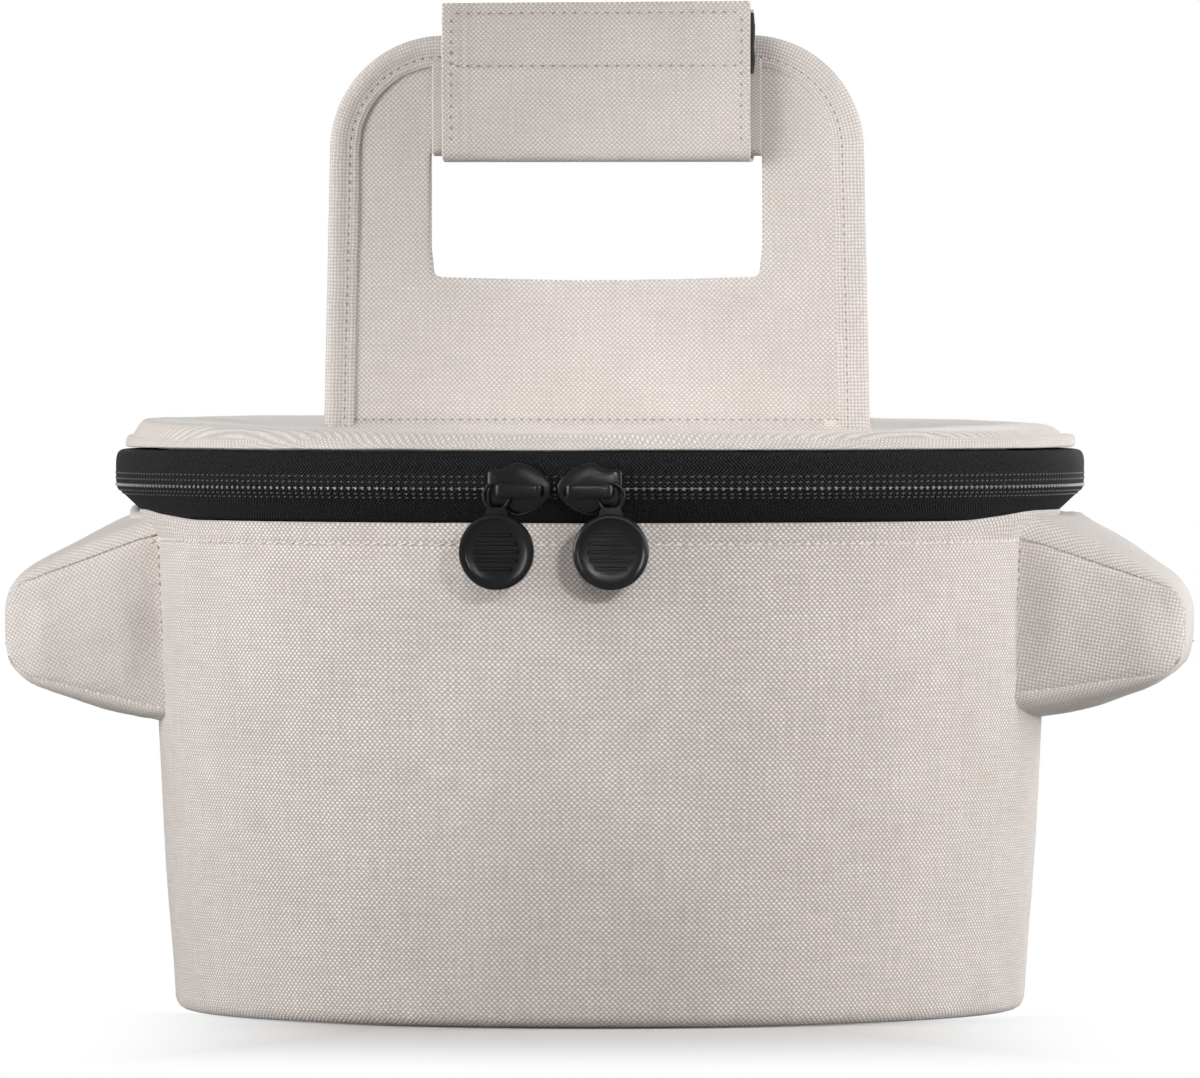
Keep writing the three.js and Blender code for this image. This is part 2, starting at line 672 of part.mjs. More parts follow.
function padProfile(inset, bottom) {
  const shoulder = PAD_RADIUS - PAD_ROUNDING;
  const rise = PAD_SHOULDER - PAD_ROUNDING;
  return [
    [0, PAD_FLAT_HEIGHT - inset],
    [PAD_FLAT_RADIUS, PAD_FLAT_HEIGHT - inset],
    [PAD_RADIUS - PAD_SLOPE_INSET, PAD_FLAT_HEIGHT + PAD_SLOPE_RISE - inset],
    ...quarter(shoulder, rise, PAD_ROUNDING - inset, 90, 0),
    [PAD_RADIUS - inset, bottom],
  ];
}

const lidLiningTop = PAD_FLAT_HEIGHT - LID_THICKNESS + LINING;

function makeLid() {
  const lipTop = LIP_BOTTOM + LIP_HEIGHT;
  const lipInner = PAD_RADIUS + GAP;
  const lipRound = LIP_HEIGHT / 2;
  const lip = [
    [lipInner, LIP_BOTTOM],
    ...quarter(LIP_RADIUS - lipRound, LIP_BOTTOM + lipRound, lipRound, -90, 90),
    [lipInner, lipTop],
  ];
  const foamBottom = lidLiningTop + GAP;
  const canvasBottom = LIP_BOTTOM + GAP;
  const padInner = padProfile(CANVAS, canvasBottom).reverse();
  const padFoam = [...padProfile(CANVAS + GAP, foamBottom), [0, foamBottom]];
  const anchorTop = PAD_FLAT_HEIGHT - CANVAS - GAP;
  const [halfLength, halfWidth] = [ANCHOR_LENGTH / 2, ANCHOR_WIDTH / 2];
  const anchor = (clear) =>
    box(
      -halfLength - clear,
      halfLength + clear,
      -halfWidth - clear,
      halfWidth + clear,
      anchorTop - ANCHOR_THICKNESS - clear,
      anchorTop + clear,
    );
  return [
    piece("lid_lip", revolve(lip), canvasCloth),
    piece("lid_top_panel", revolve([...padProfile(0, canvasBottom), ...padInner]), canvasCloth),
    piece("lid_foam", cut(revolve(padFoam), anchor(GAP)), foam),
    piece("lid_lining", disc(PAD_RADIUS - CANVAS, lidLiningTop - LINING, lidLiningTop), liningCloth),
    piece("handle_anchor_strip", anchor(0), board),
    ...makeUpperZip(),
  ];
}

// Handle, drawn about its own fold line, which lies just over the lid

const panelsHalf = HANDLE_STIFFENER / 2 + GAP + HANDLE_PANEL;
const bindingHalf = panelsHalf + GAP + BINDING;
const foldHeight = PAD_FLAT_HEIGHT + GAP + bindingHalf;
const onHandle = (height) => height + PAD_FLAT_HEIGHT - foldHeight;

// The handle's arched outline above a given height, drawn in by inset.
function handleShape(inset, bottom) {
  const top = onHandle(HANDLE_HEIGHT) - inset;
  const corner = HANDLE_CORNER - inset;
  const halfBase = HANDLE_BASE_WIDTH / 2 - inset;
  const halfTop = halfBase - HANDLE_TAPER / 2;
  const shape = new THREE.Shape();
  shape.moveTo(-halfBase, bottom);
  shape.lineTo(halfBase, bottom);
  shape.lineTo(halfTop, top - corner);
  shape.absarc(halfTop - corner, top - corner, corner, 0, Math.PI / 2, false);
  shape.absarc(-halfTop + corner, top - corner, corner, Math.PI / 2, Math.PI, false);
  return shape;
}

function slotShape(outset) {
  const half = SLOT_WIDTH / 2 + outset;
  const low = onHandle(SLOT_BOTTOM) - outset;
  const high = onHandle(SLOT_TOP) + outset;
  const r = SLOT_ROUNDING;
  const shape = new THREE.Shape();
  shape.absarc(half - r, low + r, r, -Math.PI / 2, 0, false);
  shape.absarc(half - r, high - r, r, 0, Math.PI / 2, false);
  shape.absarc(-half + r, high - r, r, Math.PI / 2, Math.PI, false);
  shape.absarc(-half + r, low + r, r, Math.PI, 1.5 * Math.PI, false);
  return shape;
}

function makeHandlePlates() {
  const floor = GAP + BINDING;
  const [half, reach] = [HANDLE_STIFFENER / 2, bindingHalf + OVERRUN];
  const slot = (outset) => plate(slotShape(outset), -reach, reach);
  const outline = handleShape(BINDING + GAP, floor + GAP);
  const front = cut(plate(outline, -panelsHalf, -half - GAP), slot(0));
  const rear = cut(plate(outline, half + GAP, panelsHalf), slot(0));
  const stiffener = cut(plate(handleShape(STIFFENER_INSET, floor + GAP), -half, half), slot(CANVAS));
  return [
    piece("handle_front_panel", front, canvasCloth),
    piece("handle_rear_panel", rear, canvasCloth),
    piece("handle_stiffener", stiffener, board),
  ];
}

function makeHandleEdging() {
  const pocketHalf = panelsHalf + GAP;
  const low = HEM_HEIGHT + GAP;
  const reach = bindingHalf + OVERRUN;
  const edging = cut(
    plate(handleShape(0, low), -bindingHalf, bindingHalf),
    plate(handleShape(BINDING_WIDTH, low - OVERRUN), -reach, reach),
    plate(handleShape(BINDING, low - OVERRUN), -pocketHalf, pocketHalf),
  );
  const half = HANDLE_BASE_WIDTH / 2;
  const past = half + OVERRUN;
  const roll = new THREE.CylinderGeometry(bindingHalf, bindingHalf, 2 * half, ROLL_SIDES);
  const block = box(-half, half, -bindingHalf, bindingHalf, -BINDING / 2, HEM_HEIGHT);
  const pocket = box(-past, past, -pocketHalf, pocketHalf, BINDING + GAP, HEM_HEIGHT + OVERRUN);
  const upper = box(-past, past, -reach, reach, 0, reach);
  const lowerRoll = cut(roll.rotateZ(Math.PI / 2), upper);
  return [
    piece("handle_edge_binding", edging, canvasCloth),
    piece("handle_hem", cut(join(lowerRoll, block), pocket), canvasCloth),
  ];
}

// Grip: an inner wrap round the handle's bar, and an outer wrap whose front flap peels down
const innerWrapInside = bindingHalf + GAP;
const innerWrapOutside = innerWrapInside + CANVAS;
const loopInside = innerWrapOutside + GAP;
const hookInside = loopInside + HOOK_STRIP + GAP;
const flapInside = hookInside + HOOK_STRIP + GAP;
const flapOutside = flapInside + CANVAS;
const gripBottom = onHandle(SLOT_TOP) - GAP - CANVAS;
const wrapBottom = gripBottom - GAP - CANVAS;
const gripTop = onHandle(GRIP_TOP) - GRIP_TOP_STEP;

function makeGripFixed() {
  const half = GRIP_WIDTH / 2;
  const innerHalf = GRIP_INNER_WIDTH / 2;
  const backInside = innerWrapOutside + GAP;
  const flapClear = flapInside - CANVAS / 2;
  const slitLow = gripTop - 2 * CANVAS;
  const past = innerHalf + OVERRUN;
  const innerWrap = cut(
    box(-innerHalf, innerHalf, -innerWrapOutside, innerWrapOutside, gripBottom, gripTop),
    box(-past, past, -innerWrapInside, innerWrapInside, gripBottom + CANVAS, gripTop - CANVAS),
    box(-past, past, innerWrapInside - WRAP_SLIT, innerWrapInside, slitLow, gripTop + OVERRUN),
  );
  const outerWrap = join(
    box(-half, half, -flapClear, backInside + CANVAS, wrapBottom, wrapBottom + CANVAS),
    box(-half, half, backInside, backInside + CANVAS, wrapBottom, gripTop),
  );
  const stripHalf = HOOK_STRIP_LENGTH / 2;
  const stripTop = gripTop - CANVAS;
  const loop = [-stripHalf, stripHalf, -loopInside - HOOK_STRIP, -loopInside];
  return [
    piece("grip_inner_wrap", innerWrap, canvasCloth),
    piece("grip_outer_wrap", outerWrap, canvasCloth),
    piece("loop_strip", box(...loop, stripTop - HOOK_STRIP_HEIGHT, stripTop), blackTape),
  ];
}

function makeGripFlap() {
  const half = GRIP_WIDTH / 2;
  const stripHalf = HOOK_STRIP_LENGTH / 2;
  const stripTop = gripTop - CANVAS;
  const hook = [-stripHalf, stripHalf, -hookInside - HOOK_STRIP, -hookInside];
  const flap = box(-half, half, -flapOutside, -flapInside, wrapBottom, onHandle(GRIP_TOP));
  return [
    piece("grip_flap", flap, canvasCloth),
    piece("hook_strip", box(...hook, stripTop - HOOK_STRIP_HEIGHT, stripTop), blackTape),
  ];
}

function makeHandle() {
  const handle = new THREE.Group();
  handle.position.z = foldHeight;
  handle.add(...makeHandlePlates(), ...makeHandleEdging(), ...makeGripFixed(), ...makeGripFlap());
  return handle;
}

const bag = new THREE.Group();
bag.add(
  ...makeBase(),
  ...makeWall(),
  makeEar("left"),
  makeEar("right"),
  ...makeLowerZip(),
  makeHingeStrip(),
  ...makeSliders(),
  ...makeLid(),
  makeHandle(),
);

export default bag;
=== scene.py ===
# The look of the round canvas carrier for a dutch oven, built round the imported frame.
# Sizes are in millimetres, as in the part's source, and become metres where a mesh is made.
import math
from collections import defaultdict

import bpy
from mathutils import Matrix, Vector, noise


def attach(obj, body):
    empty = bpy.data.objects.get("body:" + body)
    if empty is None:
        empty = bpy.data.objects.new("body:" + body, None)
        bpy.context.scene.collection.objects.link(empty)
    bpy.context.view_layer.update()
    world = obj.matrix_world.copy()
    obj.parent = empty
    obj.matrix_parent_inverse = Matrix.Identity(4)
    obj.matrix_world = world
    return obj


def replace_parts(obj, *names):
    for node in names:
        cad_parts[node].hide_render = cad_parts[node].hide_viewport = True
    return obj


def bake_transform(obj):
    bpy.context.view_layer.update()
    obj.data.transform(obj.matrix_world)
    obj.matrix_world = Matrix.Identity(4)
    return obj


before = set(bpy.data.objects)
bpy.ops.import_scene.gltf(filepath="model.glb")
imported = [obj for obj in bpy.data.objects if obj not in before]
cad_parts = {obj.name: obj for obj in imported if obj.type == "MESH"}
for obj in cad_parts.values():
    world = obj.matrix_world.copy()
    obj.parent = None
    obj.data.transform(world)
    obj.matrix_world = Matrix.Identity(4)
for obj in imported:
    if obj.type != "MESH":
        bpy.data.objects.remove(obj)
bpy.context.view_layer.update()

MM = 0.001
UP = Vector((0, 0, 1))
QUARTER = math.pi / 2
TURN = 2 * math.pi

# Wall and base
WALL_HEIGHT = 162.0
BASE_RADIUS = 141.0
RIM_RADIUS = 148.5
BOTTOM_ROUNDING = 4.5
BOTTOM_FLAT = BASE_RADIUS - BOTTOM_ROUNDING
BOTTOM_ARC = QUARTER * BOTTOM_ROUNDING
CANVAS = 1.2
INNER_OFFSET = 5.8
PADDING_DEPTH = 4.1
SEAM_GAP = 0.15
LINING_FLOOR = 8.2
LINING_TOP = 156.2
RIM_SEAM_HEIGHT = 155.6
RIM_HEM = 11.0
RIM_FLARE = 3.6
RIM_FLARE_LIFT = 0.85

# Ears: each size at the side seam and at the crown
EAR_ROOT = 148.0
EAR_START = EAR_ROOT - 6
EAR_END = 194.8
EARS = {
    "left": {
        "end": (EAR_END, 196.4), "root_top": (155.6, 166.1), "end_top": (138.8, 143.4),
        "end_low": (112.0, 107.6), "root_low": (101.6, 95.8),
        "round_top": (8.0, 12.0), "round_low": (9.0, 22.0),
    },
    "right": {
        "end": (EAR_END, 196.3), "root_top": (154.6, 171.0), "end_top": (138.4, 141.0),
        "end_low": (112.6, 109.6), "root_low": (106.6, 97.4),
        "round_top": (8.0, 10.0), "round_low": (9.0, 20.0),
    },
}
EAR_ROOT_HALF = 42.0
EAR_END_HALF = 31.0
EAR_TAPER_RUN = 39.0
EAR_ROUNDING = 12.0
EAR_BULGE = 0.8
# The highest the ear may reach under the zip, as (distance from the bag's axis, height)
EAR_CEILING = [(0, 161.4), (148.5, 161.6), (150, 162.9), (152, 164.2), (158, 164.8), (164, 172), (250, 205)]
POCKET_INSET = 5.0
POCKET_LINING = 0.7
WINDOW_CENTRE = 126.0
WINDOW_HALF = (33.0, 24.0)
WINDOW_ROUNDING = 15.0

# Zip
CHAIN_HEIGHT = 173.7
CHAIN_RADIUS = 159.7
ZIP_HALF_ANGLE = 150.0
COIL_HEIGHT = 3.4
TAPE = 0.8
TOOTH_PITCH = 2.6
TOOTH_HALF_WIDTH = 0.15 * TOOTH_PITCH
FRONT = -90.0

# Lid
PAD_RADIUS = 149.5
PAD_TURN_RADIUS = 100.0
LID_LINING_LEVEL = 183.9
LID_LINING = 0.7

# Handle and grip
HANDLE_BASE = 181.4
HANDLE_TOP_WIDTH = 177.4
HANDLE_SHIFT = -1.1
HANDLE_FOOT = 191.2
HANDLE_TOP = 322.0
HANDLE_CORNER = 38.0
SLOT_HALF = 55.4
SLOT_LOW = 241.7
SLOT_HIGH = 283.4
SLOT_ROUNDING = 2.5
FACE_DEPTH = 2.8
BINDING_WIDTH = 10.2
EDGE_STITCH = 7.0
FOOT_STITCH = 194.9
BIAS = math.sqrt(0.5)
GRIP_HALF = 50.8
GRIP_INNER_HALF = 54.3
GRIP_HEM = 9.0
GRIP_FOLD = 284.0
GRIP_STITCH_ROWS = (329.3, 311.8)
FLAP_SHIFT = -0.5
FLAP_SLOPE = 0.25
INNER_TURN = 5.0
INNER_REACH = 50.0

# Sliders and pullers
SLIDER_LENGTH = 20.5
SLIDER_OFFSET = 11.05
PLATE_INNER = 161.35
PLATE_OUTER = 163.25
INNER_PLATE = CHAIN_RADIUS - TAPE - 0.5
INNER_PLATE_DEPTH = 1.3
CROWN_REACH = 167.4
CROWN_HEIGHT = 173.0
CROWN_WIRE = 0.85
LEG_OFFSET = 6.75
PULLER_RADIUS = 164.85
RING_RADIUS = 4.25
RING_DROP = 1.7
DISC_DROP = 19.5
RIB_PITCH = 2.7
RIB_REACH = 7.6


def clamp(value, low=0.0, high=1.0):
    return max(low, min(high, value))


def mix(a, b, share):
    return a + (b - a) * share


def mixed(a, b, share):
    return tuple(mix(x, y, share) for x, y in zip(a, b))


def ease(share):
    share = clamp(share)
    return share * share * (3 - 2 * share)


def spaced(low, high, step):
    count = max(1, round(abs(high - low) / step))
    return [mix(low, high, i / count) for i in range(count + 1)]


def merged(*lists):
    """All the numbers of the lists in order, without near doubles."""
    kept = []
    for value in sorted(v for part in lists for v in part):
        if not kept or value - kept[-1] > 0.25:
            kept.append(value)
    return kept


def wander(x, y, z, size, seed):
    """Smooth noise from -1 to 1 with bumps about size millimetres across."""
    return noise.noise(Vector((x / size + seed * 5.3, y / size - seed * 2.9, z / size + seed * 1.7)))


def waves(x, y, z, seed, *bumps):
    """Smooth noise in several layers, each a (height, size) pair with a seed of its own."""
    return sum(height * wander(x, y, z, size, seed + i) for i, (height, size) in enumerate(bumps))


def dent(distance, width):
    """1 on a line, falling smoothly to 0 at a width from it."""
    return math.exp(-((distance / width) ** 2))


def around(angle, radius, z):
    turn = math.radians(angle)
    return Vector((radius * math.cos(turn), radius * math.sin(turn), z))


def along(points, value):
    """The number that a line of (key, number) pairs has at a value of the key."""
    for (a, x), (b, y) in zip(points, points[1:]):
        if value <= b:
            return mix(x, y, clamp((value - a) / (b - a)))
    return points[-1][1]


# Outlines, as lists of pairs


def line(start, end, steps):
    """Points of a straight stretch, without its end."""
    return [mixed(start, end, i / steps) for i in range(steps)]


def arc(centre, radius, first, last, steps):
    """Points of a round stretch between two turns, without its end."""
    turns = [mix(first, last, i / steps) for i in range(steps)]
    return [(centre[0] + radius * math.cos(t), centre[1] + radius * math.sin(t)) for t in turns]


def curve(start, bend, end, steps):
    """Points of a smooth corner between two points, without the ends."""
    points = []
    for i in range(1, steps):
        t = i / steps
        near, middle, far = (1 - t) ** 2, 2 * t * (1 - t), t * t
        points.append(tuple(near * a + middle * b + far * c for a, b, c in zip(start, bend, end)))
    return points


def softened(outline, rounds=3):
    """The same line with its corners cut, so that cloth bends smoothly."""
    for _ in range(rounds):
        cut = [outline[0]]
        for a, b in zip(outline, outline[1:]):
            cut += [mixed(a, b, 0.25), mixed(a, b, 0.75)]
        outline = cut + [outline[-1]]
    return outline


def outline_point(outline, share):
    """The point at a share of an outline's length, and the length up to it."""
    walked = [0.0]
    for a, b in zip(outline, outline[1:]):
        walked.append(walked[-1] + math.dist(a, b))
    target = share * walked[-1]
    for k in range(len(outline) - 1):
        if target <= walked[k + 1] + 1e-9:
            part = clamp((target - walked[k]) / (walked[k + 1] - walked[k]))
            return *mixed(outline[k], outline[k + 1], part), target
    return *outline[-1], walked[-1]


def oval(half_width, half_height, sides=8, power=1.0):
    """A wire's section: a circle or an ellipse, boxier for a power below 1."""
    ring = []
    for k in range(sides):
        turn = TURN * (k + 0.5) / sides
        c, s = math.cos(turn), math.sin(turn)
        ring.append((
            half_width * math.copysign(abs(c) ** power, c),
            half_height * math.copysign(abs(s) ** power, s),
        ))
    return ring


# Camera: a long lens a little above the zip, turned slightly to the right


def aimed(place, aim):
    return (Vector(aim) - Vector(place)).to_track_quat("-Z", "Y").to_euler()


def place_camera():
    distance, height, azimuth = 4800, 225, math.radians(5.2)
    pixels_per_mm, frame_width, middle_row, ground_row = 3.02, 1200, 539, 1008
    aim = Vector((0, 0, (ground_row - middle_row) / pixels_per_mm)) * MM
    place = Vector((distance * math.sin(azimuth), -distance * math.cos(azimuth), height)) * MM
    camera = bpy.data.objects.new("camera", bpy.data.cameras.new("camera"))
    bpy.context.collection.objects.link(camera)
    camera.location = place
    camera.rotation_euler = aimed(place, aim)
    camera.data.sensor_width = 36
    camera.data.lens = 36 * distance * pixels_per_mm / frame_width
    camera.data.clip_end = 60
    bpy.context.scene.camera = camera


# Meshes


def inside_out(points, faces):
    """Whether a closed body's faces look inwards: its volume comes out below zero."""
    origin = points[0]
    volume = 0.0
    for face in faces:
        first = points[face[0]] - origin
        for a, b in zip(face[1:], face[2:]):
            volume += first.dot((points[a] - origin).cross(points[b] - origin))
    return volume < 0


def make(name, points, faces, marks, look, body, sharp=50):
    """An object from points in millimetres, faces, and a cloth coordinate in millimetres per face corner.

    A piece that bends between two bodies rides on none.
    """
    mesh = bpy.data.meshes.new(name)
    mesh.from_pydata([tuple(p * MM) for p in points], [], faces)
    layer = mesh.uv_layers.new(name="cloth")
    marks = marks or [[(0.0, 0.0)] * len(face) for face in faces]
    layer.data.foreach_set("uv", [value * MM for face in marks for mark in face for value in mark])
    if inside_out(points, faces):
        mesh.flip_normals()
    mesh.materials.append(look)
    mesh.shade_smooth()
    mesh.set_sharp_from_angle(angle=math.radians(sharp))
    mesh.update()
    made = bpy.data.objects.new(name, mesh)
    bpy.context.collection.objects.link(made)
    if body:
        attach(made, body)
    return made


def lattice(rows, columns):
    """The (row, column) corners of each four-sided face between rows of points."""
    return [[(i, j), (i, j + 1), (i + 1, j + 1), (i + 1, j)] for i in range(rows) for j in range(columns)]


def add_solid(points, faces, rings):
    """Adds a closed body through rings of matching points, with flat ends, its faces looking out."""
    size = len(rings[0])
    body = [p for ring in rings for p in ring]
    sides = [[i * size + j % size for i, j in cell] for cell in lattice(len(rings) - 1, size)]
    sides.append(list(range(size - 1, -1, -1)))
    sides.append(list(range(len(body) - size, len(body))))
    if inside_out(body, sides):
        sides = [face[::-1] for face in sides]
    faces += [[len(points) + k for k in face] for face in sides]
    points += body


def grid_normals(points, rows, columns, wrap):
    normals = []
    for i in range(rows):
        for j in range(columns):
            left = (j - 1) % columns if wrap else max(j - 1, 0)
            right = (j + 1) % columns if wrap else min(j + 1, columns - 1)
            low, high = max(i - 1, 0), min(i + 1, rows - 1)
            across = points[i * columns + right] - points[i * columns + left]
            up = points[high * columns + j] - points[low * columns + j]
            normals.append(across.cross(up).normalized())
    return normals


def sheet(name, us, vs, point, thickness, look, body, **options):
    """Cloth with a thickness: point(u, v) is its outer face, whose outside is along du x dv.

    wrap joins the last column to the first; hole(u, v) says which cells are left out and snap(u, v) moves
    the points round them; mark(u, v) is the cloth coordinate, u and v themselves if not given.
    """
    wrap = options.get("wrap", False)
    hole = options.get("hole", lambda u, v: False)
    mark = options.get("mark", lambda u, v: (u, v))
    rows, spans = len(vs), len(us) - 1
    columns = spans if wrap else spans + 1
    places = {(i, j): (u, v) for i, v in enumerate(vs) for j, u in enumerate(us)}
    kept, gone = [], []
    for cell in lattice(rows - 1, spans):
        i, j = cell[0]
        is_gone = hole((us[j] + us[j + 1]) / 2, (vs[i] + vs[i + 1]) / 2)
        (gone if is_gone else kept).append(cell)
    for corner in {c for cell in kept for c in cell} & {c for cell in gone for c in cell}:
        places[corner] = options["snap"](*places[corner])
    outer = [point(*places[(i, j)]) for i in range(rows) for j in range(columns)]
    normals = grid_normals(outer, rows, columns, wrap)
    faces = [[i * columns + j % columns for i, j in cell] for cell in kept]
    marks = [[mark(*places[corner]) for corner in cell] for cell in kept]
    return shell(name, outer, normals, faces, marks, thickness, look, body)


def shell(name, outer, normals, faces, marks, thickness, look, body):
    """Closes an open surface into cloth: the outer face, an inner face behind it, and rounded edges."""
    used = sorted({k for face in faces for k in face})
    place = {k: i for i, k in enumerate(used)}
    outer = [outer[k] for k in used]
    normals = [normals[k] for k in used]
    faces = [[place[k] for k in face] for face in faces]
    count = len(outer)
    points = outer + [p - n * thickness for p, n in zip(outer, normals)]
    edges = {}
    for face, corner_marks in zip(faces, marks):
        for k in range(len(face)):
            after = (k + 1) % len(face)
            edges[(face[k], face[after])] = (corner_marks[k], corner_marks[after])
    border = {edge: pair for edge, pair in edges.items() if edge[::-1] not in edges}
    outward = defaultdict(Vector)
    for a, b in border:
        side = (outer[b] - outer[a]).cross(normals[a]).normalized()
        outward[a] = outward[a] + side
        outward[b] = outward[b] + side
    middles = {}
    for k, side in outward.items():
        middles[k] = len(points)
        points.append((points[k] + points[k + count]) / 2 + side.normalized() * thickness * 0.4)
    all_faces = faces + [[k + count for k in reversed(face)] for face in faces]
    all_marks = marks + [corner_marks[::-1] for corner_marks in marks]
    for (a, b), (mark_a, mark_b) in border.items():
        all_faces.append([b, a, middles[a], middles[b]])
        all_faces.append([middles[b], middles[a], a + count, b + count])
        all_marks += [[mark_b, mark_a, mark_a, mark_b]] * 2
    return make(name, points, all_faces, all_marks, look, body)


def round_sheet(name, radius, height, thickness, look, body, steps, down=False):
    """A disc of cloth: height(x, y) is its outer face, which looks up, or down."""
    turn = -1 if down else 1

    def point(u, v):
        u, v = u / radius, v / radius
        x, y = radius * u * math.sqrt(1 - v * v / 2), radius * v * math.sqrt(1 - u * u / 2)
        return Vector((turn * x, y, height(x, y)))

    run = spaced(-radius, radius, 2 * radius / steps)
    return sheet(name, run, run, point, thickness, look, body)


def running(points, zero=0):
    """The length walked to each point of a line, counted from one of them."""
    row = [0.0]
    for a, b in zip(points, points[1:]):
        row.append(row[-1] + (b - a).length)
    return [value - row[zero] for value in row]


def tube(name, path, section, look, body, closed=False, sharp=50, up=lambda i: UP):
    """A closed body: section(i) gives ring i's (sideways, upward) points round path[i]."""
    count = len(path)
    rings = []
    for i, here in enumerate(path):
        before = path[i - 1] if closed or i else here
        after = path[(i + 1) % count] if closed or i < count - 1 else here
        ahead = (after - before).normalized()
        side = ahead.cross(up(i)).normalized()
        lift = side.cross(ahead).normalized()
        rings.append([here + side * a + lift * b for a, b in section(i)])
    size = len(rings[0])
    runs, rounds = running(path + path[:1]), running(rings[0] + rings[0][:1])
    cells = lattice(count if closed else count - 1, size)
    faces = [[i % count * size + j % size for i, j in cell] for cell in cells]
    marks = [[(runs[i], rounds[j]) for i, j in cell] for cell in cells]
    if not closed:
        for i, order in ((0, range(size - 1, -1, -1)), (count - 1, range(size))):
            faces.append([i * size + j for j in order])
            marks.append([section(i)[j] for j in order])
    return make(name, [p for ring in rings for p in ring], faces, marks, look, body, sharp)


def resampled(path, step):
    """Points about a step apart on a polyline of (point, normal) pairs."""
    lengths = running([point for point, _ in path])
    count = max(1, round(lengths[-1] / step))
    spots, k = [], 0
    for i in range(count + 1):
        target = lengths[-1] * i / count
        while k < len(path) - 2 and lengths[k + 1] < target:
            k += 1
        share = (target - lengths[k]) / max(lengths[k + 1] - lengths[k], 1e-9)
        (a, normal_a), (b, normal_b) = path[k], path[k + 1]
        spots.append((a.lerp(b, share), normal_a.lerp(normal_b, share).normalized()))
    return spots


# A stitch's rings, as shares of its length, width and lift
STITCH_RINGS = (
    (-0.5, 0.25, -0.5), (-0.36, 0.8, 0.1), (-0.12, 1.0, 0.42), (0.12, 1.0, 0.42), (0.36, 0.8, 0.1),
    (0.5, 0.25, -0.5),
)
STITCH_SIDES = [(math.cos(math.pi * k / 3), math.sin(math.pi * k / 3)) for k in range(6)]


def stitches(name, paths, body, look, pitch, length, radius, slant=0.0):
    """Rows of thread stitches, each a small arched bead that dips into the cloth at both ends."""
    points, faces = [], []
    for path in paths:
        spots = resampled(path, pitch)
        for (a, n), (b, _) in zip(spots, spots[1:]):
            ahead = (b - a).normalized()
            ahead = (ahead + n.cross(ahead).normalized() * slant).normalized()
            side = n.cross(ahead).normalized()
            rings = []
            for place, width, rise in STITCH_RINGS:
                middle = (a + b) / 2 + ahead * place * length + n * rise * radius * 1.4
                rings.append([middle + (side * c + n * s) * width * radius for c, s in STITCH_SIDES])
            add_solid(points, faces, rings)
    return make(name, points, faces, None, look, body, 60)


# Materials


def add(tree, kind, inputs=None, **settings):
    made = tree.nodes.new("ShaderNode" + kind)
    for key, value in settings.items():
        setattr(made, key, value)
    for key, value in (inputs or {}).items():
        if isinstance(value, bpy.types.NodeSocket):
            tree.links.new(value, made.inputs[key])
        else:
            made.inputs[key].default_value = value
    return made


def calc(tree, operation, *values):
    return add(tree, "Math", dict(enumerate(values)), operation=operation).outputs[0]


def blend_colours(tree, share, first, second, mode="MIX"):
    made = add(tree, "Mix", {0: share, 6: first, 7: second}, data_type="RGBA", blend_type=mode)
    return made.outputs[2]


def noised(tree, place, scale, detail=2.0):
    return add(tree, "TexNoise", {"Vector": place, "Scale": scale, "Detail": detail}).outputs[0]


def ranged(tree, value, low, high, to_low=0.0, to_high=1.0):
    return add(tree, "MapRange", {0: value, 1: low, 2: high, 3: to_low, 4: to_high}).outputs[0]


def surface(name, roughness, specular, **fixed):
    look = bpy.data.materials.new(name)
    look.use_nodes = True
    shader = look.node_tree.nodes["Principled BSDF"]
    shader.inputs["Roughness"].default_value = roughness
    shader.inputs["Specular IOR Level"].default_value = specular
    for key, value in fixed.items():
        shader.inputs[key.replace("_", " ")].default_value = value
    return look, look.node_tree, shader


def finished(tree, shader, colour, strength, distance, height):
    """Links the colour and the relief to a material's shader."""
    tree.links.new(colour, shader.inputs["Base Color"])
    bump = add(tree, "Bump", {"Strength": strength, "Distance": distance, "Height": height})
    tree.links.new(bump.outputs[0], shader.inputs["Normal"])


def cloth_axes(tree):
    marks = add(tree, "UVMap", uv_map="cloth").outputs[0]
    parts = add(tree, "SeparateXYZ", {0: marks})
    return marks, parts.outputs[0], parts.outputs[1]


def streaks(tree, marks, along_u, along_v, detail=3.0):
    stretched = add(tree, "Mapping", {0: marks, 3: (along_u, along_v, 1.0)}).outputs[0]
    return noised(tree, stretched, 1.0, detail)


def rgb(red, green, blue):
    return (red, green, blue, 1.0)


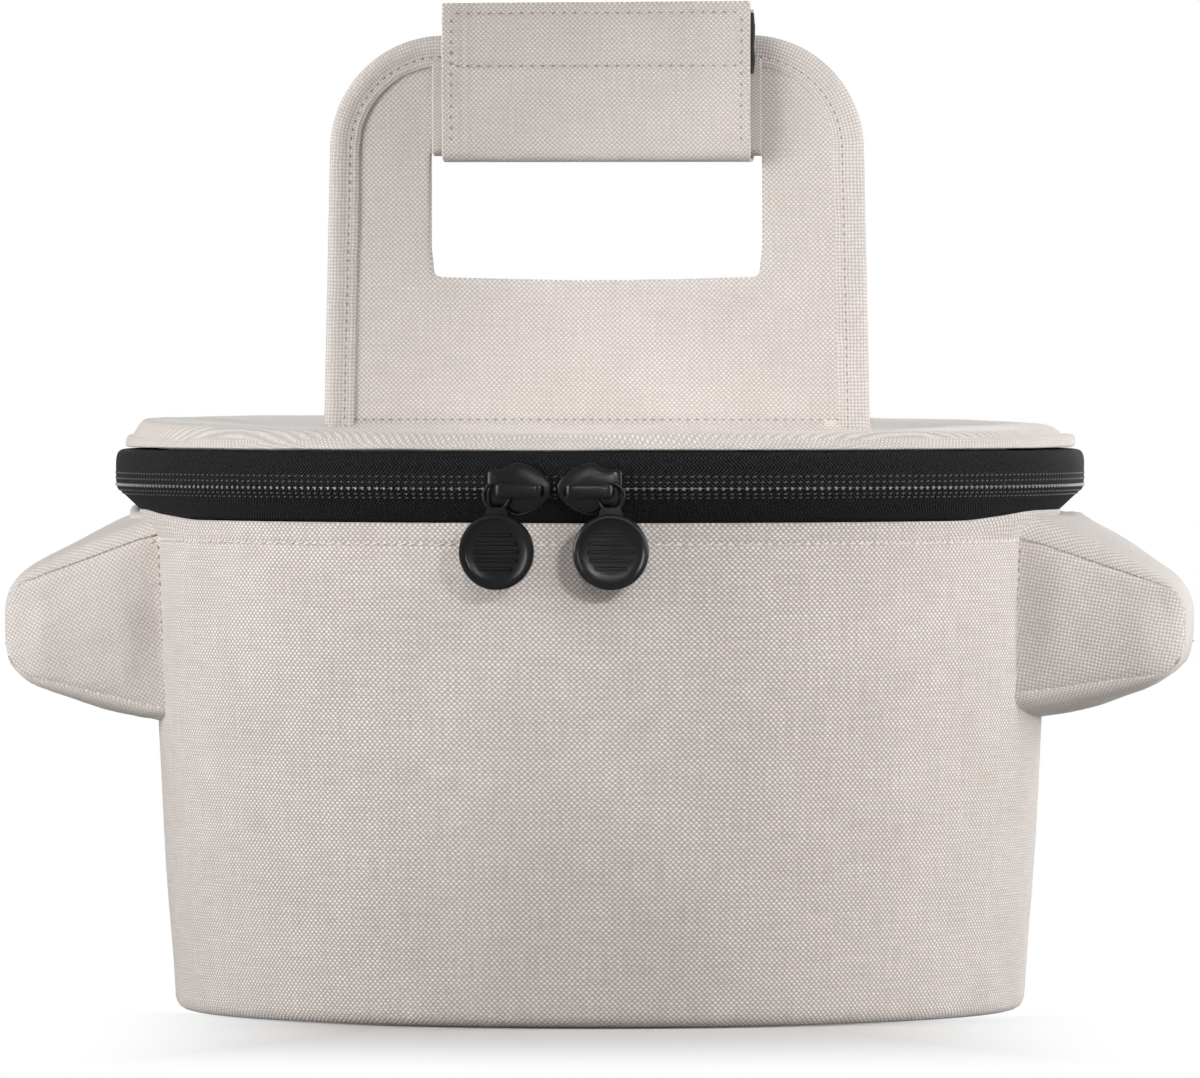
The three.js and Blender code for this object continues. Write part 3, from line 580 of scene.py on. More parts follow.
def woven(name, tops, gaps, pitch, relief, roughness=0.9, sheen=0.25):
    """Plain weave: bright crossways floats in a brick pattern, uneven yarns and faint cloudy patches. The
    floats' light tone and the gaps' dark one are partly the yarn's own colour and partly painted: highlight
    on the floats, shade in the gaps.
    """
    look, tree, shader = surface(name, roughness, 0.25, Sheen_Weight=sheen, Sheen_Roughness=0.5)
    marks, *axes = cloth_axes(tree)
    pitch *= MM
    ripples = []
    for axis, scale in zip(axes, (110.0, 140.0)):
        drift = ranged(tree, streaks(tree, marks, scale, scale, 2.0), 0.2, 0.8, -1.2, 1.2)
        turns = calc(tree, "MULTIPLY", axis, math.pi / pitch)
        ripples.append(calc(tree, "SINE", calc(tree, "ADD", turns, drift)))
    floats = ranged(tree, calc(tree, "MULTIPLY", *ripples), -1.0, 1.0)
    rows = ranged(tree, calc(tree, "MULTIPLY", ripples[1], ripples[1]), 0.0, 1.0, 0.55, 1.0)
    yarn_u = streaks(tree, marks, 1 / pitch, 0.06 / pitch)
    yarn_v = streaks(tree, marks, 0.06 / pitch, 1 / pitch)
    yarns = ranged(tree, calc(tree, "ADD", yarn_u, yarn_v), 0.7, 1.3, 0.72, 1.28)
    lift = calc(tree, "MULTIPLY", calc(tree, "MULTIPLY", floats, rows), yarns)
    # Lighter where the weave stands up and darker in its gaps: the yarn's own tone, with painted highlight
    # and painted shade.
    colour = blend_colours(tree, calc(tree, "MINIMUM", lift, 1.0), gaps, tops)
    shade = ranged(tree, streaks(tree, marks, 28.0, 28.0, 4.0), 0.3, 0.7, 1 - MOTTLE, 1 + MOTTLE)
    grey = add(tree, "CombineColor", {0: shade, 1: shade, 2: calc(tree, "POWER", shade, 1.15)}).outputs[0]
    colour = blend_colours(tree, 1.0, colour, grey, "MULTIPLY")
    finished(tree, shader, colour, relief, pitch * 0.35, lift)
    return look


def twill(name, tops, gaps, pitch, relief):
    """Herringbone twill: diagonal ribs that turn back every few millimetres across the tape. The rib tops are
    painted lighter and the hollows between them nearly black: painted highlight and painted shade over the
    yarn's own black.
    """
    look, tree, shader = surface(name, 0.75, 0.04)
    marks, u, v = cloth_axes(tree)
    slope = calc(tree, "ADD", calc(tree, "PINGPONG", v, TWILL_TURN * MM), u)
    rib = calc(tree, "ABSOLUTE", calc(tree, "SINE", calc(tree, "MULTIPLY", slope, math.pi / (pitch * MM))))
    fuzz = ranged(tree, streaks(tree, marks, 900.0, 900.0, 2.0), 0.3, 0.7, 0.3, 1.1)
    height = calc(tree, "MULTIPLY", calc(tree, "POWER", rib, 2.5), fuzz)
    # Rib tops lighter, hollows darker: painted highlight and painted shade on the black tape.
    finished(tree, shader, blend_colours(tree, height, gaps, tops), relief, 0.3 * MM, height)
    return look


def grained(name, colour, second, roughness, rough_span, scale, relief, specular=0.5):
    """A plain material with fine grain in its colour, its roughness and its relief."""
    look, tree, shader = surface(name, roughness, specular)
    place = add(tree, "TexCoord").outputs["Object"]
    fine = noised(tree, place, scale, 4.0)
    broad = noised(tree, place, scale / 25)
    share = ranged(tree, calc(tree, "ADD", fine, broad), 0.7, 1.3)
    rough = ranged(tree, broad, 0.3, 0.7, roughness - rough_span, roughness + rough_span)
    tree.links.new(rough, shader.inputs["Roughness"])
    finished(tree, shader, blend_colours(tree, share, colour, second), relief, 0.1 * MM, fine)
    return look


def thread(name, dark, pale, roughness=0.75, relief=0.4):
    return grained(name, dark, pale, roughness, 0.05, 2500, relief)


MOTTLE = 0.04
TWILL_TURN = 3.1
# Tops and gaps of each cloth: its own colour, with painted highlight on the floats and painted shade in the
# gaps between them.
CANVAS_LOOK = woven("undyed_canvas", rgb(0.76, 0.71, 0.685), rgb(0.27, 0.235, 0.212), 0.91, 0.6)
SOFT_CANVAS_LOOK = woven("soft_canvas", rgb(0.715, 0.665, 0.632), rgb(0.36, 0.325, 0.302), 0.82, 0.55)
LINING_LOOK = woven("woven_lining", rgb(0.36, 0.335, 0.31), rgb(0.17, 0.155, 0.14), 0.5, 0.35, 0.8, 0.1)
# The tape is black. Its lighter rib tops are a painted highlight, and its near-black hollows are painted
# shade.
TAPE_LOOK = twill("black_twill", rgb(0.034, 0.034, 0.036), rgb(0.001, 0.001, 0.0012), 1.3, 0.9)
# The coil is black nylon, but its colour here is a mid grey: a painted highlight for the light its heads
# catch along the zip's middle.
COIL_HIGHLIGHT_LOOK = grained("black_nylon_painted_highlight", rgb(0.16, 0.16, 0.163), rgb(0.25, 0.25, 0.253), 0.35, 0.06, 900, 0.1)
METAL_LOOK = grained(
    "satin_black", rgb(0.0015, 0.0015, 0.002), rgb(0.003, 0.003, 0.004), 0.28, 0.06, 1500, 0.15, 0.16
)
HOOK_LOOK = grained("hook_and_loop", rgb(0.008, 0.008, 0.009), rgb(0.03, 0.03, 0.032), 0.9, 0.05, 1800, 0.9)
THREAD_LOOK = thread("canvas_thread", rgb(0.22, 0.18, 0.155), rgb(0.33, 0.28, 0.25))
PALE_THREAD_LOOK = thread("pale_thread", rgb(0.6, 0.54, 0.49), rgb(0.74, 0.68, 0.62))
LINING_THREAD_LOOK = thread("lining_thread", rgb(0.12, 0.11, 0.1), rgb(0.2, 0.18, 0.17))
BLACK_THREAD_LOOK = thread("black_thread", rgb(0.02, 0.02, 0.021), rgb(0.06, 0.06, 0.062), 0.5, 0.3)
BOARD_LOOK = grained("stiff_board", rgb(0.22, 0.17, 0.11), rgb(0.3, 0.23, 0.16), 0.7, 0.08, 400, 0.2)

# Each kind of stitch: its thread, pitch, length, radius and slant
RIM_TOPSTITCH = (PALE_THREAD_LOOK, 3.4, 2.5, 0.3, 0.25)
LINING_TOPSTITCH = (LINING_THREAD_LOOK, 4.0, 2.9, 0.3)
EAR_TOPSTITCH = (THREAD_LOOK, 3.1, 1.4, 0.26)
HANDLE_TOPSTITCH = (THREAD_LOOK, 2.9, 1.3, 0.26)
GRIP_TOPSTITCH = (THREAD_LOOK, 3.5, 1.2, 0.26)
BAR_TACK = (PALE_THREAD_LOOK, 4.8, 4.8, 0.27)
COIL_TOPSTITCH = (BLACK_THREAD_LOOK, TOOTH_PITCH, 1.5, 0.24, 0.25)


# Wall and base


def wall_profile():
    """(arc length, radius, height) up the wall's outer face, from its flat bottom edge to the rim."""
    points = []
    for share in spaced(0, 1, 1 / 6):
        turn = QUARTER * share
        radius = BOTTOM_FLAT + BOTTOM_ROUNDING * math.sin(turn)
        points.append((BOTTOM_ARC * share, radius, BOTTOM_ROUNDING * (1 - math.cos(turn))))
    return points + [(BOTTOM_ARC + WALL_HEIGHT - BOTTOM_ROUNDING, RIM_RADIUS, WALL_HEIGHT)]


RADIUS_AT = [(length, radius) for length, radius, _ in wall_profile()]
HEIGHT_AT = [(length, height) for length, _, height in wall_profile()]
WALL_LENGTH = RADIUS_AT[-1][0]


def wall_radius(z):
    return mix(BASE_RADIUS, RIM_RADIUS, clamp((z - BOTTOM_ROUNDING) / (WALL_HEIGHT - BOTTOM_ROUNDING)))


def side_turn(angle):
    """Degrees from the nearer ear's middle."""
    return (angle + 90) % 180 - 90


def arc_per_degree(z):
    return math.radians(wall_radius(z))


def wall_swell(angle, z):
    """How far the canvas stands off its plain shape: slow waves, the rim's hem, seams and puckers."""
    p = around(angle, 145, z)
    to_rim, above_seam = WALL_HEIGHT - z, z - RIM_SEAM_HEIGHT
    slow = 0.8 * wander(*p, 75, 1) + 0.3 * wander(p.x, p.y, p.z * 0.6, 24, 2)
    swell = slow * ease(z / 25) * ease(to_rim / 30)
    pucker = 0.75 + 0.25 * math.sin(angle * 8.2 + 3 * wander(p.x, p.y, 0, 30, 3))
    swell += 0.35 * ease(above_seam / 1.2 + 0.5) - 0.55 * pucker * dent(above_seam, 1.1)
    swell += 0.12 * wander(p.x, p.y, 4, 6, 4) * dent(abs(above_seam) - 3, 3.5)
    edge = abs(abs(side_turn(angle)) * arc_per_degree(z) - EAR_ROOT_HALF)
    if 92 < z < 158:
        swell -= 0.5 * dent(edge, 2.2) * ease((z - 92) / 8) * ease((158 - z) / 6)
        swell += 0.35 * wander(p.x, p.y, z, 9, 5) * dent(edge - 4, 5)
    belly = ease(z / 70) * ease(to_rim / 50) - 0.5 * ease((50 - z) / 45)
    return swell + belly


def in_window(angle, z):
    """Whether a place of the wall lies in the opening to an ear."""
    qx = abs(side_turn(angle)) * arc_per_degree(z) - (WINDOW_HALF[0] - WINDOW_ROUNDING)
    qy = abs(z - WINDOW_CENTRE) - (WINDOW_HALF[1] - WINDOW_ROUNDING)
    if qx > 0 and qy > 0:
        return math.hypot(qx, qy) < WINDOW_ROUNDING
    return max(qx, qy) < WINDOW_ROUNDING


def to_window(across, up):
    """The nearest point of the opening's outline."""
    inner = (WINDOW_HALF[0] - WINDOW_ROUNDING, WINDOW_HALF[1] - WINDOW_ROUNDING)
    qx, qy = abs(across) - inner[0], abs(up) - inner[1]
    if qx > 0 and qy > 0:
        share = WINDOW_ROUNDING / max(math.hypot(qx, qy), 1e-6)
        x, y = inner[0] + qx * share, inner[1] + qy * share
    elif qx > qy:
        x, y = WINDOW_HALF[0], abs(up)
    else:
        x, y = abs(across), WINDOW_HALF[1]
    return math.copysign(x, across), math.copysign(y, up)


def snapped(angle, z):
    """The angle and height of the opening's outline nearest to a place of the wall."""
    turn = side_turn(angle)
    across, up = to_window(turn * arc_per_degree(z), z - WINDOW_CENTRE)
    return angle - turn + across / arc_per_degree(z), WINDOW_CENTRE + up


def rim_flare(angle, z):
    """How far the rim's hem turns out and up under the zip's tape, which it does only beside the ears."""
    return RIM_FLARE * (1 - ease((abs(side_turn(angle)) - 14) / 20)) * ease((z - 156.5) / 5.5)


def make_wall_panel(name, first, last, node):
    """Half of the outer canvas, from one ear's middle to the other's, with the ears' openings cut out."""

    def spot(u, v):
        return math.degrees(u / BASE_RADIUS), along(HEIGHT_AT, v)

    def point(u, v):
        angle, z = spot(u, v)
        flare = rim_flare(angle, z)
        return around(angle, along(RADIUS_AT, v) + wall_swell(angle, z) + flare, z + RIM_FLARE_LIFT * flare)

    def hole(u, v):
        return v > BOTTOM_ARC and in_window(*spot(u, v))

    def snap(u, v):
        angle, z = snapped(*spot(u, v))
        return math.radians(angle) * BASE_RADIUS, z + BOTTOM_ARC - BOTTOM_ROUNDING

    us = spaced(math.radians(first) * BASE_RADIUS, math.radians(last) * BASE_RADIUS, 2.6)
    hem = WALL_LENGTH - RIM_HEM
    vs = merged(spaced(0, BOTTOM_ARC, 1.6), spaced(BOTTOM_ARC, hem, 2.6), spaced(hem, WALL_LENGTH, 0.8))
    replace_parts(sheet(name, us, vs, point, CANVAS, CANVAS_LOOK, "bag", hole=hole, snap=snap), node)


def make_walls():
    seam = math.degrees(SEAM_GAP / BASE_RADIUS)
    make_wall_panel("front_wall_canvas", 180 + seam, 360 - seam, "front_panel")
    make_wall_panel("rear_wall_canvas", seam, 180 - seam, "rear_panel")
    z = RIM_SEAM_HEIGHT
    row = []
    for angle in spaced(0, 360, 0.5):
        row.append((around(angle, wall_radius(z) + wall_swell(angle, z) + 0.12, z), around(angle, 1, 0)))
    stitches("rim_topstitch", [row], "bag", *RIM_TOPSTITCH)


def make_wall_lining():
    """The padded inner wall: lining over foam, with bound openings into the ears."""

    def spot(u, v):
        return -math.degrees(u / BASE_RADIUS), v

    def point(u, v):
        angle, z = spot(u, v)
        puff = waves(*around(angle, 140, z), 11, (0.9, 40), (0.35, 14))
        puff *= ease((z - LINING_FLOOR) / 15) * ease((LINING_TOP - z) / 12)
        return around(angle, wall_radius(z) - INNER_OFFSET + 0.5 * puff, z)

    def hole(u, v):
        return in_window(*spot(u, v))

    def snap(u, v):
        angle, z = snapped(*spot(u, v))
        return -math.radians(angle) * BASE_RADIUS, z

    length = TURN * BASE_RADIUS
    us = spaced(-length / 4, length * 3 / 4, 3.2)
    vs = spaced(LINING_FLOOR, LINING_TOP, 3.0)
    shape = {"wrap": True, "hole": hole, "snap": snap}
    lining = sheet("padded_wall_lining", us, vs, point, PADDING_DEPTH, LINING_LOOK, "bag", **shape)
    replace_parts(lining, "wall_lining", "wall_foam")
    for side, centre in (("left", 180), ("right", 0)):
        make_opening_binding(side, centre)


def make_opening_binding(side, centre):
    bead = oval(1.3, 1.3)
    path = []
    for c, s in arc((0, 0), 1, 0, TURN, 72):
        across, up = to_window(60 * c, 42 * s)
        z = WINDOW_CENTRE + up
        path.append(around(centre + across / arc_per_degree(z), wall_radius(z) - INNER_OFFSET - 0.2, z))
    out = around(centre, 1, 0)
    tube(f"{side}_ear_opening_binding", path, lambda i: bead, LINING_LOOK, "bag", True, 80, lambda i: out)


def make_base():

    def underside(x, y):
        inward = clamp(1 - math.hypot(x, y) / BOTTOM_FLAT)
        return 0.35 * inward * (1 + wander(x, y, 0, 60, 21))

    bottom = round_sheet("base_canvas", BOTTOM_FLAT - 0.3, underside, 1.0, CANVAS_LOOK, "bag", 46, True)
    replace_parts(bottom, "base_panel")
    radius = BASE_RADIUS - INNER_OFFSET - 0.6
    seam_radius = radius - 9

    def upside(x, y):
        far = math.hypot(x, y)
        crown = 0.7 * (1 - (far / radius) ** 6) - 0.9 * dent(far - seam_radius, 1.6)
        return 8.75 + 0.35 * crown + 0.2 * wander(x, y, 0, 34, 22)

    pad = round_sheet("base_lining_pad", radius, upside, 4.6, LINING_LOOK, "bag", 84)
    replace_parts(pad, "base_lining", "base_foam")
    ring = [(around(angle, seam_radius, upside(seam_radius, 0) + 0.1), UP) for angle in range(0, 361, 3)]
    stitches("base_lining_stitch", [ring], "bag", *LINING_TOPSTITCH)


def make_rim_binding():
    """The bound raw edge of wall and lining, just inside the zip's tape."""
    path = [around(angle, 144.0, 159.1) for angle in range(0, 360, 3)]
    ring = oval(1.55, 2.55, 12, 0.7)
    binding = tube("rim_edge_binding", path, lambda i: ring, LINING_LOOK, "bag", True, 80)
    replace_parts(binding, "rim_binding")


# Ears


def ear_outline(side, inset, puff, root_top_x, root_low_x):
    """The ear seen from the front, over its top, round its end and back underneath, as (x, z) points."""
    size = {key: mix(*pair, puff) for key, pair in EARS[side].items()}
    end = size["end"] - inset
    end_top, end_low = size["end_top"] - inset, size["end_low"] + inset
    round_top, round_low = size["round_top"] - 0.6 * inset, size["round_low"] - 0.6 * inset

    def top_line(x):
        return mix(size["root_top"] - inset, end_top, (x - EAR_ROOT) / (end - EAR_ROOT))

    def low_line(x):
        return mix(size["root_low"] + inset, end_low, (x - EAR_ROOT) / (end - EAR_ROOT))

    def bowed(first, last, height, bow):
        points = []
        for share in spaced(0, 1, 1 / 17):
            x = mix(first, last, share)
            points.append((x, height(x) + bow * puff * math.sin(math.pi * share)))
        return points

    top_x, low_x = end - round_top, end - round_low
    points = bowed(root_top_x, top_x, top_line, EAR_BULGE)
    points += curve((top_x, top_line(top_x)), (end, end_top), (end, end_top - round_top), 9)
    points += [(end, mix(end_top - round_top, end_low + round_low, i / 6)) for i in range(7)]
    points += curve((end, end_low + round_low), (end, end_low), (low_x, low_line(low_x)), 9)
    return points + bowed(low_x, root_low_x, low_line, -EAR_BULGE)


def ear_half(x, inset):
    """Half the ear's depth: it tapers outward, then rounds in towards its end."""
    taper = mix(EAR_ROOT_HALF, EAR_END_HALF, clamp((x - EAR_ROOT) / EAR_TAPER_RUN, -0.2, 1.0))
    near_end = clamp((x - EAR_END + EAR_ROUNDING) / EAR_ROUNDING)
    return taper - 0.5 * EAR_ROUNDING * (1 - math.sqrt(1 - near_end * near_end)) - inset


def ear_root_x(y, z):
    return math.sqrt(max(wall_radius(z) ** 2 - y * y, 0)) - 0.7


def panel_relief(x, z, root, t, tall, seed):
    """How far the ear's side stands out: a soft dome, folds from the root, and dips along its seams."""
    rim = min(t, 1 - t) * tall
    out, end = x - root, EAR_END - x
    dome = 3.0 * math.sin(math.pi * t) ** 0.6 * ease(end / 14)
    folds = 1.2 * wander(x * 0.7, 0, z, 21, seed) + 0.45 * wander(x, 0, z, 8, seed + 1)
    seams = 0.5 * dent(rim, 1.2) * ease(end / 28) + 0.3 * dent(out, 1.2)
    puckers = 0.13 * math.sin(x * 1.9 + 3 * wander(x, 0, z, 9, seed + 2)) * dent(rim - 2.0, 2.2)
    puckers += 0.22 * math.sin(z * 1.7 + 2 * wander(x, 0, z, 7, seed + 3)) * dent(out - 2.5, 2.5)
    return ease(out / 15) * (dome + folds * ease(rim / 8) * ease(end / 8)) + puckers - seams


def ear_crease(x, y, z, seed):
    """Soft folds that run out from the ear's root, and small puckers along its seams."""
    folds = 1.6 * ease((184 - x) / 32) * wander(x * 0.35, y * 0.8, z * 1.2, 16, seed)
    folds += 0.6 * wander(x, y * 0.7, z, 24, seed + 1)
    return folds * (1 - 0.85 * ease((x - 183) / 10)) + 0.16 * wander(x, y, z, 6, seed + 2)


def crown_share(share):
    """How far the ear's section has swelled from its seams to its crown at a share of its half depth."""
    return math.sqrt(max(0.0, 1 - share * share)) ** 0.8


def ear_ring(side, inset, side_inset, share, seed, rough):
    """The ear's section at a share of its half depth."""
    puff = crown_share(share)
    root_y = share * ear_half(EAR_START, side_inset)
    tops = [min(mix(*EARS[side][key], puff), WALL_HEIGHT) for key in ("root_top", "root_low")]
    ring = []
    for x, z in ear_outline(side, inset, puff, *[ear_root_x(root_y, z) for z in tops]):
        y = share * ear_half(x, side_inset)
        cap = along(EAR_CEILING, math.hypot(x, y))
        z = min(z, cap - inset)
        if rough:
            out = (Vector((x, y * 0.4, z)) - Vector((EAR_START, 0, WINDOW_CENTRE))).normalized()
            seam_edge = 0.9 * dent(abs(share) - 0.93, 0.09) * ease((EAR_END - x) / 12)
            fade = ease((math.hypot(x, y) - wall_radius(min(z, WALL_HEIGHT)) - 0.5) / 7)
            push = (ear_crease(x, y, z, seed) * puff + seam_edge) * fade
            x, z = x + out.x * push, min(z + out.z * push, cap)
        ring.append(Vector((x, y, z)))
    return ring


def placed(side, rings):
    """Turns points of the right ear into their place on either side."""
    mirror = -1 if side == "left" else 1
    return [[Vector((mirror * p.x, p.y, p.z)) for p in ring] for ring in rings]


def loft(name, rings, thickness, look, flip, turn=None):
    """Cloth of the bag through rings of matching points; flip turns its outside round.

    With a turn, in degrees, its weave lies flat as seen from the front; without, it follows the rings.
    """
    if flip:
        rings = [ring[::-1] for ring in rings]
    rows, columns = range(len(rings)), range(len(rings[0]))
    runs = [running([ring[k] for ring in rings], len(rings) // 2) for k in columns]
    lengths = [running(ring, len(ring) // 2) for ring in rings]

    def mark(u, v):
        if turn is None:
            return lengths[v][u], runs[u][v]
        p, c, s = rings[v][u], math.cos(math.radians(turn)), math.sin(math.radians(turn))
        return p.x * c + p.z * s, p.z * c - p.x * s

    return sheet(name, columns, rows, lambda u, v: rings[v][u], thickness, look, "bag", mark=mark)


def ear_panel_rings(side, sign, seed):
    """Ribs of one flat side of the ear, from its lower seam up to its upper seam, root first."""
    half = ear_half(EAR_START, 0)
    roots = [ear_root_x(half, EARS[side][key][0]) for key in ("root_top", "root_low")]
    outline = ear_outline(side, 0, 0, *roots)
    rings = []
    for k in range(len(outline) // 2):
        high, low = outline[k], outline[-1 - k]
        if k and high[0] - outline[k - 1][0] < 0.02:
            break
        ring = []
        for t in spaced(0, 1, 1 / 40):
            x, z = mixed(low, high, t)
            half = ear_half(x, 0)
            root = ear_root_x(half, z)
            x = mix(root, x, ease(k / 3))
            relief = panel_relief(x, z, root, t, high[1] - low[1], seed)
            ring.append(Vector((x, sign * (half + relief), z)))
        rings.append(ring)
    return rings


def pocket_side_rings(side, sign):
    """The flat inner side of an ear's pocket."""
    seam = {key: pair[0] for key, pair in EARS[side].items()}
    end = seam["end"] - POCKET_INSET
    inset = POCKET_INSET - 0.8
    rings = []
    for x in spaced(EAR_ROOT - 8, end, (end - EAR_ROOT + 8) / 12):
        share = (x - EAR_ROOT) / (end - EAR_ROOT)
        low = mix(seam["root_low"], seam["end_low"], share) + inset
        top = mix(seam["root_top"], seam["end_top"], share) - inset
        y = ear_half(x, POCKET_INSET)
        zs = spaced(low, top, (top - low) / 12)
        rings.append([Vector((max(x, ear_root_x(y, z) - 3), sign * y, z)) for z in zs])
    return rings


def make_ear(side, seed):
    mirror = side == "left"
    bias = 14 if mirror else 34
    shares = [math.sin(QUARTER * i / 18) for i in range(-18, 19)]
    rings = placed(side, [ear_ring(side, 0, 0, share, seed, True) for share in shares])
    gusset = loft(f"{side}_ear_gusset_cloth", rings, CANVAS, SOFT_CANVAS_LOOK, mirror)
    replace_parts(gusset, f"{side}_ear_gusset", f"{side}_ear_padding")
    for word, sign, step in (("front", -1, 3), ("rear", 1, 6)):
        rings = placed(side, ear_panel_rings(side, sign, seed + step))
        flip = (word == "front") != mirror
        panel = loft(f"{side}_ear_{word}_cloth", rings, CANVAS, SOFT_CANVAS_LOOK, flip, bias)
        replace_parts(panel, f"{side}_ear_{word}_panel")
        rings = placed(side, pocket_side_rings(side, sign))
        loft(f"{side}_ear_pocket_{word}", rings, POCKET_LINING, LINING_LOOK, not flip, 0)
    insets = (POCKET_INSET - 0.8, POCKET_INSET)
    rings = placed(side, [ear_ring(side, *insets, share, seed, False) for share in shares[::2]])
    lining = loft(f"{side}_ear_pocket_lining", rings, POCKET_LINING, LINING_LOOK, not mirror)
    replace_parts(lining, f"{side}_ear_lining")


def make_root_roll():
    """The left ear's thick seam edge, which stands out as a roll along the top of its root."""
    shares = spaced(-1, 1, 1 / 24)
    path = []
    for share in shares:
        radius = mix(154.0, 149.3, share * share)
        z = min(mix(*EARS["left"]["root_top"], crown_share(share)), along(EAR_CEILING, radius))
        z += mix(0.2, -1.6, ease(abs(share) / 0.45))
        y = 41.5 * share
        path.append(Vector((-math.sqrt(radius * radius - y * y), y, z + 0.3 * wander(0, y, z, 12, 105))))

    def section(i):
        thick = mix(2.4, 1.9, ease(abs(shares[i]) / 0.6))
        return oval(thick, thick * 0.95, 12)

    tube("left_ear_root_roll", path, section, SOFT_CANVAS_LOOK, "bag")


def make_root_stitching():
    """Short dark stitches down both ears' root seams, front and rear."""
    half = ear_half(EAR_START, 0)
    rows = []
    for side, mirror in (("left", -1), ("right", 1)):
        zs = spaced(EARS[side]["root_low"][0] + 1, EARS[side]["root_top"][0] - 1, 2.0)
        for sign in (-1, 1):
            out = Vector((0, sign, 0))
            y = sign * (half + 0.35)
            rows.append([(Vector((mirror * (ear_root_x(half, z) + 1.2), y, z)), out) for z in zs])
    stitches("ear_root_stitch", rows, "bag", *EAR_TOPSTITCH)


# Zip

# The section of each tape, as (radius, height) from its sewn edge to the chain or away from it
LOWER_TAPE = softened([
    (146.0, 156.6), (146.0, 162.4), (149.6, 163.4), (152.6, 165.8), (155.4, 168.4), (158.0, 170.8),
    (159.8, 172.4), (160.1, 173.2),
])
UPPER_TAPE = softened([
    (160.1, 174.2), (160.2, 175.4), (160.2, 178.0), (160.2, 182.4), (159.2, 184.9), (156.4, 185.4),
    (150.3, 185.4),
])
HINGE_TAPE = softened([
    (146.0, 156.6), (146.0, 162.6), (150.0, 164.2), (154.6, 167.4), (158.8, 171.5), (159.2, 181.5),
    (156.2, 185.3),
])


def make_tape(name, outline, first, last, depth, look, body, seed):
    """A band of cloth round the bag with the given section, loose away from the chain and its own edges."""
    length = outline_point(outline, 1.0)[2]

    def point(u, v):
        turn = u / CHAIN_RADIUS
        radius, z, _ = outline_point(outline, v / length)
        loose = 1 - 0.9 * ease(2 - 2 * clamp(abs(z - CHAIN_HEIGHT) / 9))
        wave = 0.3 * loose * wander(radius * math.cos(turn), radius * math.sin(turn), z, 22, seed)
        return around(math.degrees(turn), radius + wave * ease(min(v, length - v) / 2.5), z)

    us = spaced(math.radians(first) * CHAIN_RADIUS, math.radians(last) * CHAIN_RADIUS, 2.4)
    return sheet(name, us, spaced(0, length, 0.9), point, depth, look, body)


def tooth_section(sign):
    """One turn of the coil as (radius, distance from the chain's middle): a head, and a loop behind it."""
    inner, hidden = CHAIN_RADIUS - 1.2, CHAIN_RADIUS - 0.5
    outer = CHAIN_RADIUS + (0.75 if sign < 0 else -0.3)
    return (
        (inner, 0.7), (inner + 0.5, 0.0), (outer - 0.35, -0.45), (outer, -0.2), (outer, 0.4),
        (outer - 0.4, 0.6), (hidden, 0.7), (hidden, COIL_HEIGHT - 0.4), (inner + 0.4, COIL_HEIGHT),
        (inner, COIL_HEIGHT - 0.5),
    )


def make_teeth(name, sign, body):
    """One side's coil behind the tape's edge: turns whose rounded heads meet the other side's."""
    reach = ZIP_HALF_ANGLE - 0.3
    count = round(math.radians(2 * reach) * CHAIN_RADIUS / TOOTH_PITCH) + 1
    half = math.degrees(TOOTH_HALF_WIDTH / CHAIN_RADIUS)
    lean = 1.15 if sign < 0 else 0.0
    shift = 0.5 if sign > 0 else 0.0
    points, faces = [], []
    for k in range(count):
        middle = FRONT - reach + 2 * reach * (k + shift) / count
        rings = []
        for turn, shrink in ((-1, 0.5), (-0.6, 0.0), (0.6, 0.0), (1, 0.5)):
            ring = []
            for radius, up in tooth_section(sign):
                deep = mix(radius, CHAIN_RADIUS - 0.3, shrink * 0.5) - lean * max(0.0, up - 0.8)
                z = CHAIN_HEIGHT + sign * mix(up, COIL_HEIGHT / 2, shrink * 0.2)
                ring.append(around(middle + turn * half, deep, z))
            rings.append(ring)
        add_solid(points, faces, rings)
    # The coil's grey colour is a painted highlight on its black heads.
    return make(name, points, faces, None, COIL_HIGHLIGHT_LOOK, body, 40)


def make_coil_thread(name, sign, body):
    """The rows of thread that sew the coil to its tape, seen on the tape's outside."""
    outline = LOWER_TAPE if sign < 0 else UPPER_TAPE[::-1]
    total = outline_point(outline, 1.0)[2]
    reach = ZIP_HALF_ANGLE - 1.5
    rows = []
    for back in (1.5, 3.3):
        radius, z, _ = outline_point(outline, 1 - back / total)
        near = outline_point(outline, 1 - (back + 0.4) / total)
        slope = Vector((radius - near[0], z - near[1])).normalized() * -sign
        angles = spaced(FRONT - reach, FRONT + reach, reach / 200)
        rows.append([(around(a, radius - 0.12, z), around(a, slope.y, -slope.x)) for a in angles])
    stitches(name, rows, body, *COIL_TOPSTITCH)


def make_zip():
    ends = (FRONT - ZIP_HALF_ANGLE, FRONT + ZIP_HALF_ANGLE)
    for word, sign, body, outline, seed in (
        ("lower", -1, "bag", LOWER_TAPE, 31),
        ("upper", 1, "lid", UPPER_TAPE, 32),
    ):
        tape = make_tape(f"{word}_tape_cloth", outline, *ends, TAPE, TAPE_LOOK, body, seed)
        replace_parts(tape, f"{word}_zip_tape")
        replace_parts(make_teeth(f"{word}_coil", sign, body), f"{word}_zip_coil")
        make_coil_thread(f"{word}_coil_thread", sign, body)


